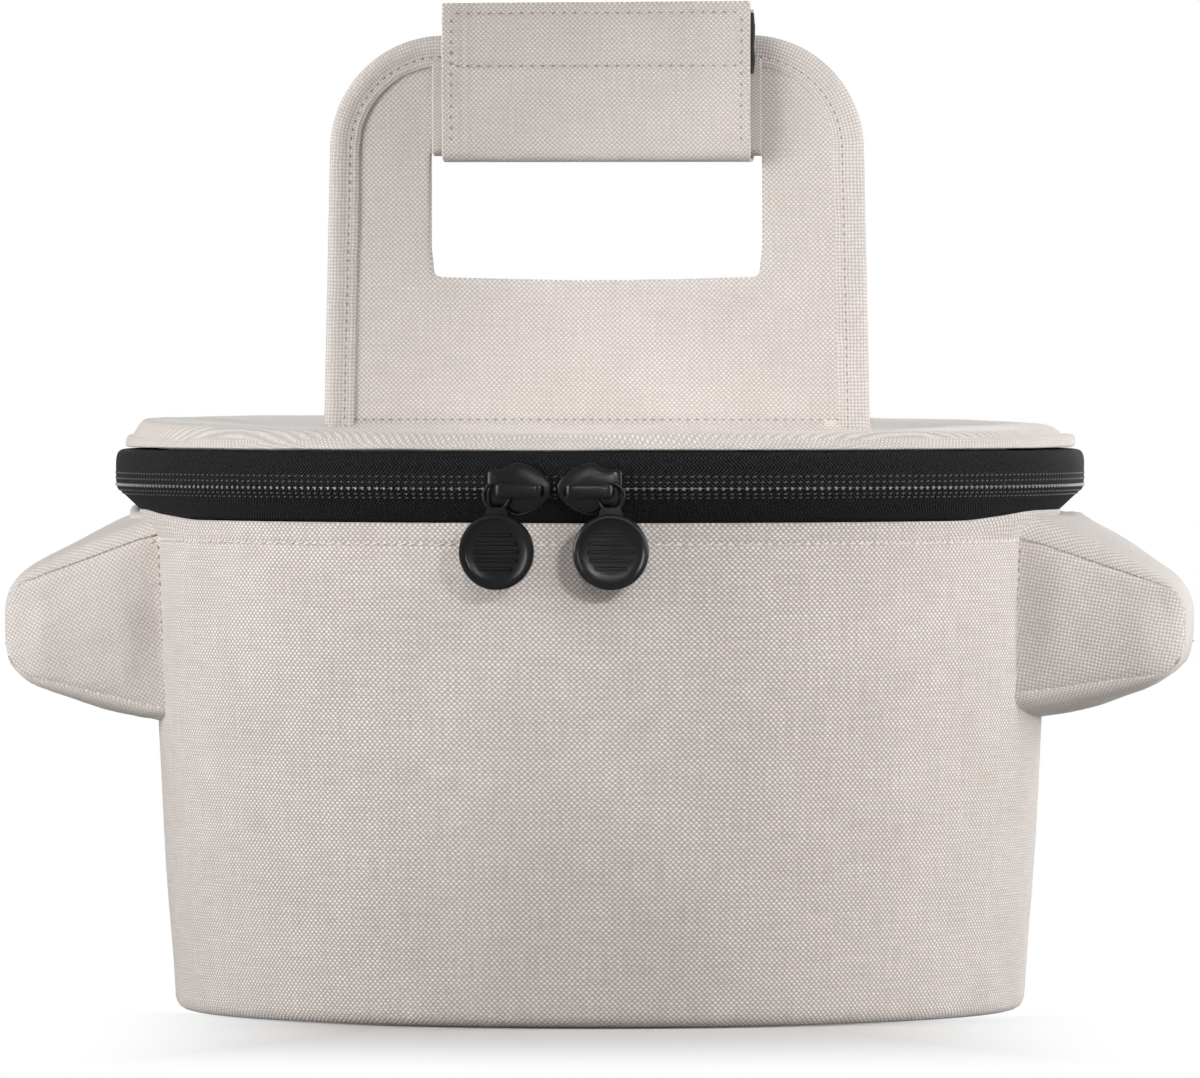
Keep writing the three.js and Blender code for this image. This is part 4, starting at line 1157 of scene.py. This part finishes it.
def make_hinge_strip():
    """The canvas that joins lid and wall behind the zip's ends, and bends as the lid opens."""
    clear = 0.12
    first, last = FRONT + ZIP_HALF_ANGLE + clear, FRONT + 360 - ZIP_HALF_ANGLE - clear
    strip = make_tape("hinge_strip_cloth", HINGE_TAPE, first, last, TAPE, CANVAS_LOOK, None, 33)
    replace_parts(strip, "hinge_strip")
    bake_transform(strip)


# Lid

# The padded top from its middle to its edge and under it, as (radius, height)
PAD_SECTION = softened([
    (0.0, 191.4), (60, 191.4), (97, 191.45), (128.5, 191.8), (144.0, 192.0), (150.0, 191.9), (153.0, 191.3),
    (155.0, 190.2), (155.5, 189.1), (154.9, 188.7), (150.2, 188.8), (149.4, 188.2), (149.4, 186.4),
])
LIP_SECTION = softened([
    (149.9, 185.9), (155.0, 185.85), (157.2, 186.0), (157.4, 187.8), (157.2, 189.7), (155.0, 190.2),
    (149.9, 190.0),
], 2)
# How far the pad's shoulder stands above its middle, by angle: high at the left and rear, low in front
SHOULDER_RISES = [
    (0, 0.7), (40, 2.4), (90, 3.6), (150, 3.6), (180, 3.5), (215, 2.0), (250, 0.0), (290, 0.0), (325, 0.1),
    (360, 0.7),
]


def front_share(turn):
    """1 round the front, where the lid's lip folds under its pad, and 0 at the sides and the rear."""
    return ease((-math.sin(turn) + 0.1) / 0.6)


def pad_point(turn, radius, z, reach, total):
    """The padded top's outer face at an angle, for a point of its section and the length up to it."""
    x, y = radius * math.cos(turn), radius * math.sin(turn)
    rise = along(SHOULDER_RISES, math.degrees(turn) % 360)
    z += rise * ease((radius - 90) / 50) * (1 - ease((reach - 150.5) / 4.5))
    z += clamp(radius / 20) * ease((total - reach) / 9) * waves(x, y, 0, 41, (0.45, 48), (0.12, 15))
    out = 0.5 * wander(x, y, z, 30, 43) * ease((radius - 130) / 12) * ease((z - 189) / 2)
    out -= 2.0 * dent(turn + TURN * (turn < -math.pi), 0.6) * ease((radius - 130) / 18)
    over = front_share(turn) * ease((reach - 152.5) / 2.5) * ease((total - reach) / 2)
    pressed = dent(y, 7) * ease((94 - abs(x)) / 6) * dent(abs(y) - 5, 2.5)
    return around(math.degrees(turn), radius + out + 1.6 * over, z - 2.95 * over - 0.5 * pressed)


def make_lid_top():
    total = outline_point(PAD_SECTION, 1.0)[2]

    def point(u, v):
        radius, z, reach = outline_point(PAD_SECTION, v / total)
        return pad_point(-u / PAD_TURN_RADIUS, radius, z, reach, total)

    def mark(u, v):
        radius, z, reach = outline_point(PAD_SECTION, v / total)
        if z < 189 and radius > 148:
            return u * 1.5, reach
        turn = -u / PAD_TURN_RADIUS
        return reach * math.cos(turn), reach * math.sin(turn)

    us = spaced(0, TURN * PAD_TURN_RADIUS, 3.6)
    vs = merged(spaced(0.6, 96, 4.5), spaced(96, 136, 3), spaced(136, total, 0.8))
    top = sheet("lid_pad_canvas", us, vs, point, CANVAS, SOFT_CANVAS_LOOK, "lid", wrap=True, mark=mark)
    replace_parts(top, "lid_top_panel", "lid_foam")


def make_lip():
    """The folded canvas edge over the zip: a flat double fold with a rounded outer edge."""
    angles = spaced(0, 360, math.degrees(2.6 / CHAIN_RADIUS))[:-1]

    def section(i):
        turn = math.radians(angles[i])
        ring = []
        for radius, z in LIP_SECTION:
            x, y = radius * math.cos(turn), radius * math.sin(turn)
            edge = ease((radius - 150) / 4)
            wave = 0.35 * wander(x, y, z * 0.3, 26, 44) + 0.12 * wander(x, y, z, 7, 45) - 0.15
            lean = 3.0 * front_share(turn) * clamp((z - 186.2) / 3.8)
            ring.append((radius - CHAIN_RADIUS + edge * (wave - lean), z + 0.2 * edge * (wave + 0.15)))
        return ring

    path = [around(angle, CHAIN_RADIUS, 0) for angle in angles]
    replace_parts(tube("lid_lip_cloth", path, section, SOFT_CANVAS_LOOK, "lid", True), "lid_lip")


def make_lid_lining():
    radius = PAD_RADIUS - CANVAS - 0.2

    def under(x, y):
        sag = 0.5 * (1 - (math.hypot(x, y) / radius) ** 4)
        return LID_LINING_LEVEL - 0.1 * sag + 0.12 * wander(x, y, 0, 40, 46)

    lining = round_sheet("lid_lining_cloth", radius, under, LID_LINING, LINING_LOOK, "lid", 70, True)
    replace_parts(lining, "lid_lining")
    ring = [(around(angle, radius - 6, LID_LINING_LEVEL - 0.1), -UP) for angle in range(0, 361, 3)]
    stitches("lid_lining_stitch", [ring], "lid", *LINING_TOPSTITCH)


# Handle

# Points on each stretch of the handle's outline: a side, a corner, the top and the foot
SIDE_STEPS, CORNER_STEPS, TOP_STEPS, FOOT_STEPS = 64, 30, 56, 96
EDGE_POINTS = 2 * (SIDE_STEPS + CORNER_STEPS) + TOP_STEPS + 1
# How far in from the edge the face's first rings lie, and how far each later ring is towards the slot
EDGE_INSETS = (0.9, 2.4, 4.4, 6.0, 6.6, 7.2, 7.8, 9.0, 9.8, 10.3, 10.8, 11.4, 12.6)
SLOT_SHARES = (0.12, 0.26, 0.4, 0.54, 0.68, 0.8, 0.9, 0.96, 1.0)
# Half the binding's section, as (distance in from the edge, depth), from its sewn edge to the fold
BINDING_HALF = (
    (BINDING_WIDTH, 3.0), (BINDING_WIDTH - 0.9, 3.35), (EDGE_STITCH + 1.2, 3.5), (EDGE_STITCH, 3.2),
    (EDGE_STITCH - 1.4, 3.6), (3.6, 3.8), (1.6, 3.55), (0.4, 2.5), (0.0, 0.9),
)
HEM_HALF = ((4.4, -1.5), (4.7, -0.9), (4.2, -0.2), (3.3, 0.9), (2.2, 1.4))


def arch(inset):
    """The handle's outline from its lower left corner round to its lower right, then back along the foot."""
    top = HANDLE_TOP - inset
    half_top, half_base = HANDLE_TOP_WIDTH / 2 - inset, HANDLE_BASE / 2 - inset
    corner = max(HANDLE_CORNER - inset, 2)
    turn_x, turn_z = half_top - corner, top - corner
    points = line((-half_base, HANDLE_FOOT), (-half_top, turn_z), SIDE_STEPS)
    points += arc((-turn_x, turn_z), corner, math.pi, QUARTER, CORNER_STEPS)
    points += line((-turn_x, top), (turn_x, top), TOP_STEPS)
    points += arc((turn_x, turn_z), corner, QUARTER, 0, CORNER_STEPS)
    points += line((half_top, turn_z), (half_base, HANDLE_FOOT), SIDE_STEPS)
    points += line((half_base, HANDLE_FOOT), (-half_base, HANDLE_FOOT), FOOT_STEPS)
    return [(x + HANDLE_SHIFT, z) for x, z in points]


def slot_half(z):
    """Half the slot's width at a height: its sides draw in a little at the foot, with rounded corners."""
    gone = clamp((SLOT_ROUNDING - (z - SLOT_LOW)) / SLOT_ROUNDING)
    cut = SLOT_ROUNDING * (1 - math.sqrt(1 - gone * gone))
    return mix(SLOT_HALF - 0.9, SLOT_HALF, ease((z - SLOT_LOW) / 12)) - cut


def slot_ring():
    """The hand slot's outline with points that match arch(), and a slightly bowed foot."""
    sides = line((SLOT_LOW,), (SLOT_HIGH,), SIDE_STEPS + CORNER_STEPS)
    falls = line((SLOT_HIGH,), (SLOT_LOW,), SIDE_STEPS + CORNER_STEPS)
    half_top, half_foot = slot_half(SLOT_HIGH), slot_half(SLOT_LOW)
    points = [(-slot_half(z), z) for z, in sides]
    points += line((-half_top, SLOT_HIGH), (half_top, SLOT_HIGH), TOP_STEPS)
    points += [(slot_half(z), z) for z, in falls]
    for x, t in line((half_foot, 0), (-half_foot, 1), FOOT_STEPS):
        points.append((x, SLOT_LOW - math.sin(math.pi * t)))
    return [(x + HANDLE_SHIFT, z) for x, z in points]


def handle_relief(inset, x, z, seed):
    """The panel's stand-off: bound edge, stitch groove, the fold inside it, and slack in the middle."""
    stitch = -0.35 * dent(inset - EDGE_STITCH, 0.9) * (0.7 + 0.3 * math.sin((x + z) * 1.6))
    step = -0.28 * ease(inset - BINDING_WIDTH + 0.2)
    slack = waves(x, 0, z, seed, (0.5, 42), (0.18, 15)) * ease((inset - BINDING_WIDTH - 1) / 12)
    near_slot = max(abs(x) - SLOT_HALF, SLOT_LOW - z, z - SLOT_HIGH, 0.0)
    return stitch + step + slack - 0.35 * dent(z - FOOT_STITCH, 0.8) - 0.25 * dent(near_slot, 1.6)


def make_handle_face(name, sign, node, seed):
    rings = [arch(inset) for inset in EDGE_INSETS]
    edge, slot = rings[-1], slot_ring()
    rings += [[mixed(a, b, share) for a, b in zip(edge, slot)] for share in SLOT_SHARES]
    insets = EDGE_INSETS + (20.0,) * len(SLOT_SHARES)
    points = []
    for inset, ring in zip(insets, rings):
        for x, z in ring:
            points.append(Vector((x, sign * (FACE_DEPTH - 0.1 + handle_relief(inset, x, z, seed)), z)))
    columns = len(slot)
    faces = [[i * columns + j % columns for i, j in cell] for cell in lattice(len(rings) - 1, columns)]
    if sign < 0:
        faces = [face[::-1] for face in faces]
    normals = [Vector((0, sign, 0))] * len(points)
    marks = [[(points[k].x, points[k].z) for k in face] for face in faces]
    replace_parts(shell(name, points, normals, faces, marks, 0.9, SOFT_CANVAS_LOOK, "handle"), node)


def make_handle_edge():
    """The binding folded over the handle's outer edge."""
    section = BINDING_HALF + tuple((inset, -depth) for inset, depth in BINDING_HALF[::-1])
    rings = [arch(inset)[:EDGE_POINTS] for inset, _ in section]
    points = []
    for (_, depth), ring in zip(section, rings):
        for x, z in ring:
            soft = 0.15 * wander(x, depth, z, 12, 52) * math.copysign(1, depth)
            points.append(Vector((x, -(depth + soft), z)))
    runs = running([Vector((x, 0, z)) for x, z in rings[len(BINDING_HALF) - 1]])
    across = running([Vector((inset, depth, 0)) for inset, depth in section])
    cells = lattice(len(rings) - 1, EDGE_POINTS - 1)
    faces = [[i * EDGE_POINTS + j for i, j in cell] for cell in cells]
    marks = []
    for cell in cells:
        marks.append([((runs[j] + across[i]) * BIAS, (across[i] - runs[j]) * BIAS) for i, j in cell])
    normals = grid_normals(points, len(rings), EDGE_POINTS, False)
    edge = shell("handle_binding_cloth", points, normals, faces, marks, 0.5, SOFT_CANVAS_LOOK, "handle")
    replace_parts(edge, "handle_edge_binding")


def on_face(points, sign, depth):
    """A row of stitches on one side of the handle."""
    return [(Vector((x, sign * depth, z)), Vector((0, sign, 0))) for x, z in points]


def make_handle_stitching():
    rows, tacks = [], []
    for sign in (-1, 1):
        rows.append(on_face(arch(EDGE_STITCH)[:EDGE_POINTS], sign, 3.25))
        rows.append(on_face([(-82.5, FOOT_STITCH), (80.5, FOOT_STITCH)], sign, 2.95))
        for x in (-86.0, 77.0):
            for z in spaced(FOOT_STITCH - 3.2, FOOT_STITCH - 0.6, 0.65):
                tacks.append(on_face([(x - 2.4, z), (x + 2.4, z)], sign, 3.0))
    stitches("handle_edge_stitch", rows, "handle", *HANDLE_TOPSTITCH)
    stitches("handle_bar_tacks", tacks, "handle", *BAR_TACK)


def make_hem():
    """The low fold along the handle's foot, where its panels turn out and are sewn to the lid."""
    xs = spaced(-HANDLE_BASE / 2, HANDLE_BASE / 2, 2.0)
    fold = [(-y, z) for y, z in HEM_HALF] + list(HEM_HALF[::-1])

    def section(i):
        ring = []
        for y, z in fold:
            wide = 1 + 0.06 * wander(xs[i], y, z, 11, 61)
            ring.append((y * wide, z + 0.15 * wander(xs[i], y, z, 14, 62)))
        return ring

    path = [Vector((x + HANDLE_SHIFT, 0, 191.9)) for x in xs]
    hem = tube("handle_hem_fold", path, section, SOFT_CANVAS_LOOK, "handle", False, 60)
    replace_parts(hem, "handle_hem")


# Grip

# The outer wrap seen from its side: down the back, round under the bar and up the front, as (y, z)
WRAP_SECTION = softened([
    (6.3, 330.2), (6.5, 320), (6.9, 300), (6.6, 286), (5.6, 280.6), (2.0, 280.1), (-4.0, 280.1),
    (-7.9, 280.4), (-9.1, 284.0), (-9.6, 296), (-9.7, 312), (-9.1, 326), (-8.6, 332.5),
])


def wrap_edge(u):
    return GRIP_HALF - abs(u)


def flap_slope(u, z):
    """The flap's upper edge runs a little uphill to the right."""
    return FLAP_SLOPE * ease((z - 325) / 8) * u / GRIP_HALF


def wrap_point(u, y, z, reach):
    """The outer wrap's outer face: hemmed and stitched in front, slack all over, plain where it bends."""
    if z < GRIP_FOLD and abs(y) < 8:
        return Vector((u + FLAP_SHIFT, y, z))
    edge = wrap_edge(u)
    front = clamp((-6.5 - y) / 2)
    soft = waves(u, reach, 0, 71, (0.45, 34), (0.15, 12))
    hem = 0.35 * ease((GRIP_HEM - edge) / 1.2) - 0.3 * dent(edge - 6.6, 0.8)
    groove = 0.3 * dent(min(abs(z - row) for row in GRIP_STITCH_ROWS), 0.8)
    push = (soft * ease(edge / 10) + hem - groove) * front + 0.4 * soft * (1 - front)
    return Vector((u + FLAP_SHIFT, y + math.copysign(push, push * y), z + flap_slope(u, z) * front))


def make_outer_wrap():
    length = outline_point(WRAP_SECTION, 1.0)[2]

    def point(u, v):
        return wrap_point(u, *outline_point(WRAP_SECTION, v / length))

    hem = GRIP_HALF - 10
    us = merged(spaced(-GRIP_HALF, -hem, 0.9), spaced(-hem, hem, 3.0), spaced(hem, GRIP_HALF, 0.9))
    wrap = sheet("grip_outer_cloth", us, spaced(0, length, 1.15), point, 1.0, SOFT_CANVAS_LOOK, None)
    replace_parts(wrap, "grip_outer_wrap", "grip_flap")
    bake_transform(wrap)


def make_grip_stitching():
    """Two rows along the flap and one down each of its hems."""

    def spot(x, z):
        y = min((p for p in WRAP_SECTION if p[0] < -6 and p[1] > GRIP_FOLD), key=lambda p: abs(p[1] - z))[0]
        proud = 0.45 * ease((GRIP_HEM - wrap_edge(x)) / 1.2) + 0.1
        return Vector((x + FLAP_SHIFT, y - proud, z + flap_slope(x, z))), Vector((0, -1, 0))

    rows = [[spot(x, z) for x in spaced(-GRIP_HALF + 3, GRIP_HALF - 3, 2)] for z in GRIP_STITCH_ROWS]
    rows += [[spot(x, z) for z in spaced(286, 328.6, 2)] for x in (-GRIP_HALF + 2.6, GRIP_HALF - 2.6)]
    stitches("grip_flap_stitch", rows, "grip_flap", *GRIP_TOPSTITCH)


def make_inner_wrap():
    """The canvas wrapped up round the bar from below, lower at its ends than in the middle."""

    def point(u, v):
        ends = ease((abs(u) - GRIP_HALF + 0.6) / 0.8)
        bend = QUARTER * clamp(abs(v) / INNER_TURN)
        climb = max(0.0, (abs(v) - INNER_TURN) / (INNER_REACH - INNER_TURN))
        z = 282.1 + 2.6 * (1 - math.cos(bend)) + climb * (mix(329.8, 314.0, ends) - 284.7)
        y = 5.0 * math.sin(bend) + 0.12 * wander(u, v, 0, 14, 75) * bend / QUARTER
        return Vector((u - 0.7 * ends, math.copysign(y, -v), z))

    ends = spaced(GRIP_HALF - 0.8, GRIP_INNER_HALF, 0.45)
    us = merged([-u for u in ends], spaced(-GRIP_HALF + 1.4, GRIP_HALF - 1.4, 3.0), ends)
    side = spaced(INNER_TURN, INNER_REACH, 1.6)
    vs = merged([-v for v in side], spaced(-INNER_TURN, INNER_TURN, 1.0), side)
    wrap = sheet("grip_inner_cloth", us, vs, point, 0.9, SOFT_CANVAS_LOOK, "handle")
    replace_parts(wrap, "grip_inner_wrap")


def make_grip_strip(name, outer_y, thickness, body, node):
    """The loop strip on the inner wrap or the hook strip inside the flap, fuzzy at its edges."""

    def point(u, v):
        edge = 0.3 * wander(0, v, 0, 2.4, 82) if abs(u) > 50 else 0
        return Vector((u + edge, outer_y + 0.12 * wander(u, v, 0, 1.6, 81), v))

    us, vs = spaced(-51.4, 51.4, 1.3), spaced(309.5, 329.0, 1.3)
    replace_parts(sheet(name, us, vs, point, thickness, HOOK_LOOK, body), node)


# Sliders and pullers


def slider_place(side, forward, up, radius):
    """A point of a slider: forward along the zip towards the other slider, up from the chain, at a radius."""
    offset = (SLIDER_OFFSET - forward) * (-1 if side == "left" else 1)
    return around(FRONT + math.degrees(offset / CHAIN_RADIUS), radius, CHAIN_HEIGHT + up)


def slider_outline():
    """The slider's outline as (forward, up): a square tail, wider shoulders and a blunt pointed nose."""
    half = SLIDER_LENGTH / 2
    upper = [(-half, 5.2), (0.8 - half, 6.0), (-half * 0.62, 6.1), (-half * 0.42, 6.6), (-half * 0.2, 7.9)]
    upper += [(0.0, 8.2)] + curve((0.0, 8.2), (half * 0.66, 6.6), (half - 0.5, 1.9), 10)
    upper += [(half - 0.5, 1.9), (half - 0.1, 0.9)]
    return [(forward, -up) for forward, up in upper] + upper[::-1]


def add_plate(points, faces, side, outline, inner, outer, dome):
    """Adds a closed plate with a bevelled edge, a raised middle and a gently domed face."""
    layers = [(1.0, inner), (1.02, mix(inner, outer, 0.35)), (1.0, mix(inner, outer, 0.8)), (0.95, outer)]
    layers += [(0.86, outer + dome * 0.25), (0.8, outer + dome * 0.9)]
    layers += [(0.4, outer + dome), (0.12, outer + dome)]
    rings = []
    for scale, radius in layers:
        ring = [(mix(0.5, forward, scale), up * scale) for forward, up in outline]
        rings.append([slider_place(side, *spot, radius) for spot in ring])
    add_solid(points, faces, rings)


def crown_path():
    """The crown's line as (forward, radius): out of the plate near the tail, along, and back in."""
    end, bend = SLIDER_LENGTH / 2 - 2.9, 2.0
    low, high = PLATE_OUTER - 0.4, CROWN_REACH - CROWN_WIRE
    turns = spaced(0, QUARTER, QUARTER / 9)
    rise = [(bend * (1 - math.cos(t)) - end, mix(low, high, math.sin(t))) for t in turns]
    level = line((bend - end, high), (end - bend, high), 6)[1:]
    return rise + level + [(-forward, radius) for forward, radius in rise[::-1]]


def make_slider(side):
    body, points, faces = f"{side}_slider", [], []
    outline = slider_outline()
    add_plate(points, faces, side, outline, PLATE_INNER, PLATE_OUTER, 0.35)
    narrow = [(forward * 0.99, clamp(up, -2.6, 2.6)) for forward, up in outline]
    add_plate(points, faces, side, narrow, INNER_PLATE, INNER_PLATE - INNER_PLATE_DEPTH, -0.2)
    post = ((1.5, -0.15), (8.5, -0.15), (8.5, 0.15), (1.5, 0.15))
    depths = (INNER_PLATE - 0.6, PLATE_INNER + 0.4)
    add_solid(points, faces, [[slider_place(side, *corner, radius) for corner in post] for radius in depths])
    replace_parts(make(f"{side}_slider_body", points, faces, None, METAL_LOOK, body, 42), body)
    rise = CROWN_HEIGHT - CHAIN_HEIGHT
    path = [slider_place(side, forward, rise, radius) for forward, radius in crown_path()]
    middle = (len(path) - 1) / 2

    def section(i):
        height = mix(1.7, 2.3, ease(2.2 * (1 - abs(i - middle) / middle)))
        return oval(CROWN_WIRE, height, 16, 0.62)

    tube(f"{side}_slider_crown", path, section, METAL_LOOK, body, False, 60)


# The disc's section as (radius, distance outward), from its back round its rim to its dished middle
DISC_SECTION = (
    (10.6, -0.9), (11.7, -0.7), (12.25, -0.1), (12.3, 0.6), (12.05, 1.5), (11.5, 1.95), (10.9, 1.98),
    (10.4, 1.6), (9.9, 1.25), (7.0, 1.15), (3.5, 1.1), (0.4, 1.1),
)
SQUARE = ((-1, -1), (1, -1), (1, 1), (-1, 1))
NECK_SECTION = ((-4.6, 9.975), (4.6, 9.975), (3.0, 14.25), (-3.0, 14.25))


def make_puller(side):
    """A wire ring on the crown's tail leg, cast in one with a dished round disc with grip ribs."""
    body = f"{side}_puller"
    leg = slider_place(side, -LEG_OFFSET, 0, CHAIN_RADIUS)
    out = Vector((leg.x, leg.y, 0)).normalized()
    sideways = out.cross(UP)

    def spot(across, up, depth):
        return out * (PULLER_RADIUS + depth) + sideways * across + UP * (CROWN_HEIGHT - DISC_DROP + up)

    ring_centre = spot(0, DISC_DROP - RING_DROP, 0)
    path = [spot(x, DISC_DROP - RING_DROP + z, 0) for x, z in arc((0, 0), RING_RADIUS, 0, TURN, 40)]
    wire = oval(0.85, 0.58, 10, 0.8)
    tube(f"{side}_puller_ring", path, lambda i: wire, METAL_LOOK, body, True, 80,
         lambda i: (path[i] - ring_centre).normalized())
    points, faces = [], []
    rings = []
    for radius, depth in DISC_SECTION:
        rings.append([spot(x, z, depth) for x, z in arc((0, 0), radius, 0, TURN, 56)])
    add_solid(points, faces, rings)
    add_solid(points, faces, [[spot(*corner, depth) for corner in NECK_SECTION] for depth in (-0.85, 0.9)])
    for up in spaced(-2 * RIB_PITCH, 2 * RIB_PITCH, RIB_PITCH):
        reach = math.sqrt(RIB_REACH ** 2 - up ** 2)
        rings = []
        for depth, wide, half in ((0.9, reach, 0.7), (1.7, reach * 0.93, 0.4)):
            rings.append([spot(x * wide, up + z * half, depth) for x, z in SQUARE])
        add_solid(points, faces, rings)
    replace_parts(make(f"{side}_puller_disc", points, faces, None, METAL_LOOK, body, 35), body)


# Hidden solids, studio and light


def finish_solids():
    """The hidden boards and the end stops keep their solids, with softened edges and their own finish."""
    looks = {
        "base_board": BOARD_LOOK, "handle_stiffener": BOARD_LOOK, "handle_anchor_strip": BOARD_LOOK,
        "left_end_stop": METAL_LOOK, "right_end_stop": METAL_LOOK,
    }
    for node, look in looks.items():
        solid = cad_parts[node]
        solid.data.materials.clear()
        solid.data.materials.append(look)
        bevel = solid.modifiers.new("edge", "BEVEL")
        bevel.width = 0.3 * MM
        bevel.segments = 2
        bevel.limit_method = "ANGLE"


def seen_directly(tree):
    """1 for rays that show the background itself, also in a reflection; 0 for rays that gather light."""
    rays = add(tree, "LightPath").outputs
    mirrored = calc(tree, "MAXIMUM", rays["Is Glossy Ray"], rays["Is Transmission Ray"])
    return calc(tree, "MAXIMUM", rays["Is Camera Ray"], mirrored)


def make_studio():
    """A pale floor that fades to white away from the bag, as seen, and stays plain under the light. Near the
    bag's front the camera sees a grey floor. That grey holds the bag's real shadow and is partly painted
    shade, while the white glow covers the floor elsewhere.
    """
    bpy.ops.mesh.primitive_plane_add(size=12, location=(0, 0, -0.0004))
    floor = bpy.context.object
    floor.name = "studio_floor"
    look, tree, shader = surface("studio_floor", 0.95, 0.1)
    place = add(tree, "TexCoord").outputs["Object"]
    tree.links.new(ranged(tree, noised(tree, place, 60.0), 0.3, 0.7, 0.86, 0.94), shader.inputs["Roughness"])
    seen = seen_directly(tree)
    # The camera sees a grey floor near the bag: painted shade over the real shadow that the lamps cast on it.
    colour = blend_colours(tree, seen, rgb(0.3, 0.29, 0.28), rgb(0.56, 0.55, 0.54))
    tree.links.new(colour, shader.inputs["Base Color"])
    glow = add(tree, "Emission", {"Color": rgb(1, 1, 1), "Strength": 1.0})
    far = add(tree, "VectorMath", {0: place}, operation="LENGTH").outputs["Value"]
    depth = add(tree, "SeparateXYZ", {0: place}).outputs[1]
    sideways = {0: place, 1: (0.996, 0.0906, 0.0)}
    across = add(tree, "VectorMath", sideways, operation="DOT_PRODUCT").outputs["Value"]
    aside = calc(tree, "ABSOLUTE", across)
    # The fades bound the grey to a soft patch in front of the bag, a painted shadow. Beyond it the floor
    # glows white for the camera, which also hides its real shadows there.
    fades = []
    for distance, near, end in ((far, 0.1, 0.42), (aside, 0.05, 0.165), (depth, -0.14, -0.02)):
        span = {0: distance, 1: near, 2: end, 3: 0.0, 4: 1.0}
        fades.append(add(tree, "MapRange", span, interpolation_type="SMOOTHSTEP").outputs[0])
    fade = calc(tree, "MAXIMUM", calc(tree, "MAXIMUM", *fades[:2]), fades[2])
    share = calc(tree, "MULTIPLY", seen, fade)
    both = add(tree, "MixShader", {0: share, 1: shader.outputs[0], 2: glow.outputs[0]})
    tree.links.new(both.outputs[0], tree.nodes["Material Output"].inputs["Surface"])
    floor.data.materials.append(look)


def add_lamp(name, kind, place, aim, power):
    data = bpy.data.lights.new(name, kind)
    data.energy = power
    lamp = bpy.data.objects.new(name, data)
    bpy.context.collection.objects.link(lamp)
    lamp.location = place
    lamp.rotation_euler = aimed(place, aim)
    return data


def area_light(name, place, size, power):
    data = add_lamp(name, "AREA", place, (0, 0, 0.15), power)
    data.shape = "RECTANGLE"
    data.size, data.size_y = size


def spot_light(name, place, aim, angle, power):
    data = add_lamp(name, "SPOT", place, aim, power)
    data.spot_size = math.radians(angle)
    data.spot_blend = 1.0
    data.shadow_soft_size = 0.25


def light_studio():
    world = bpy.data.worlds.new("studio")
    bpy.context.scene.world = world
    world.use_nodes = True
    tree = world.node_tree
    seen = seen_directly(tree)
    backdrop = tree.nodes["Background"]
    backdrop.inputs["Color"].default_value = rgb(1, 1, 1)
    backdrop.inputs["Strength"].default_value = 0.17
    white = add(tree, "Background", {"Color": rgb(1, 1, 1), "Strength": 1.0})
    both = add(tree, "MixShader", {0: seen, 1: backdrop.outputs[0], 2: white.outputs[0]})
    tree.links.new(both.outputs[0], tree.nodes["World Output"].inputs["Surface"])
    area_light("left_key", (-1.56, -0.9, 0.62), (0.9, 1.1), 40.5)
    area_light("right_side", (1.7, 0.0, 0.6), (0.9, 1.1), 30)
    area_light("front_fill", (0.1, -1.9, 0.55), (1.2, 0.8), 1.5)
    area_light("back", (0.2, 1.9, 0.3), (1.6, 0.6), 17)
    spot_light("handle_light", (0.0, -1.9, 0.8), (0, 0, 0.275), 6.6, 200)
    spot_light("right_ear_light", (0.75, -1.5, 0.5), (0.186, -0.03, 0.127), 5.4, 1100)
    bpy.context.scene.view_settings.view_transform = "Standard"


place_camera()
make_walls()
make_wall_lining()
make_base()
make_rim_binding()
make_ear("left", 100)
make_ear("right", 130)
make_root_roll()
make_root_stitching()
make_zip()
make_hinge_strip()
make_lid_top()
make_lip()
make_lid_lining()
make_handle_face("handle_front_cloth", -1, "handle_front_panel", 50)
make_handle_face("handle_rear_cloth", 1, "handle_rear_panel", 55)
make_handle_edge()
make_handle_stitching()
make_hem()
make_outer_wrap()
make_inner_wrap()
make_grip_strip("loop_tape", -6.6, 1.05, "handle", "loop_strip")
make_grip_strip("hook_tape", -7.9, 1.1, "grip_flap", "hook_strip")
make_grip_stitching()
for slider_side in ("left", "right"):
    make_slider(slider_side)
    make_puller(slider_side)
finish_solids()
make_studio()
light_studio()
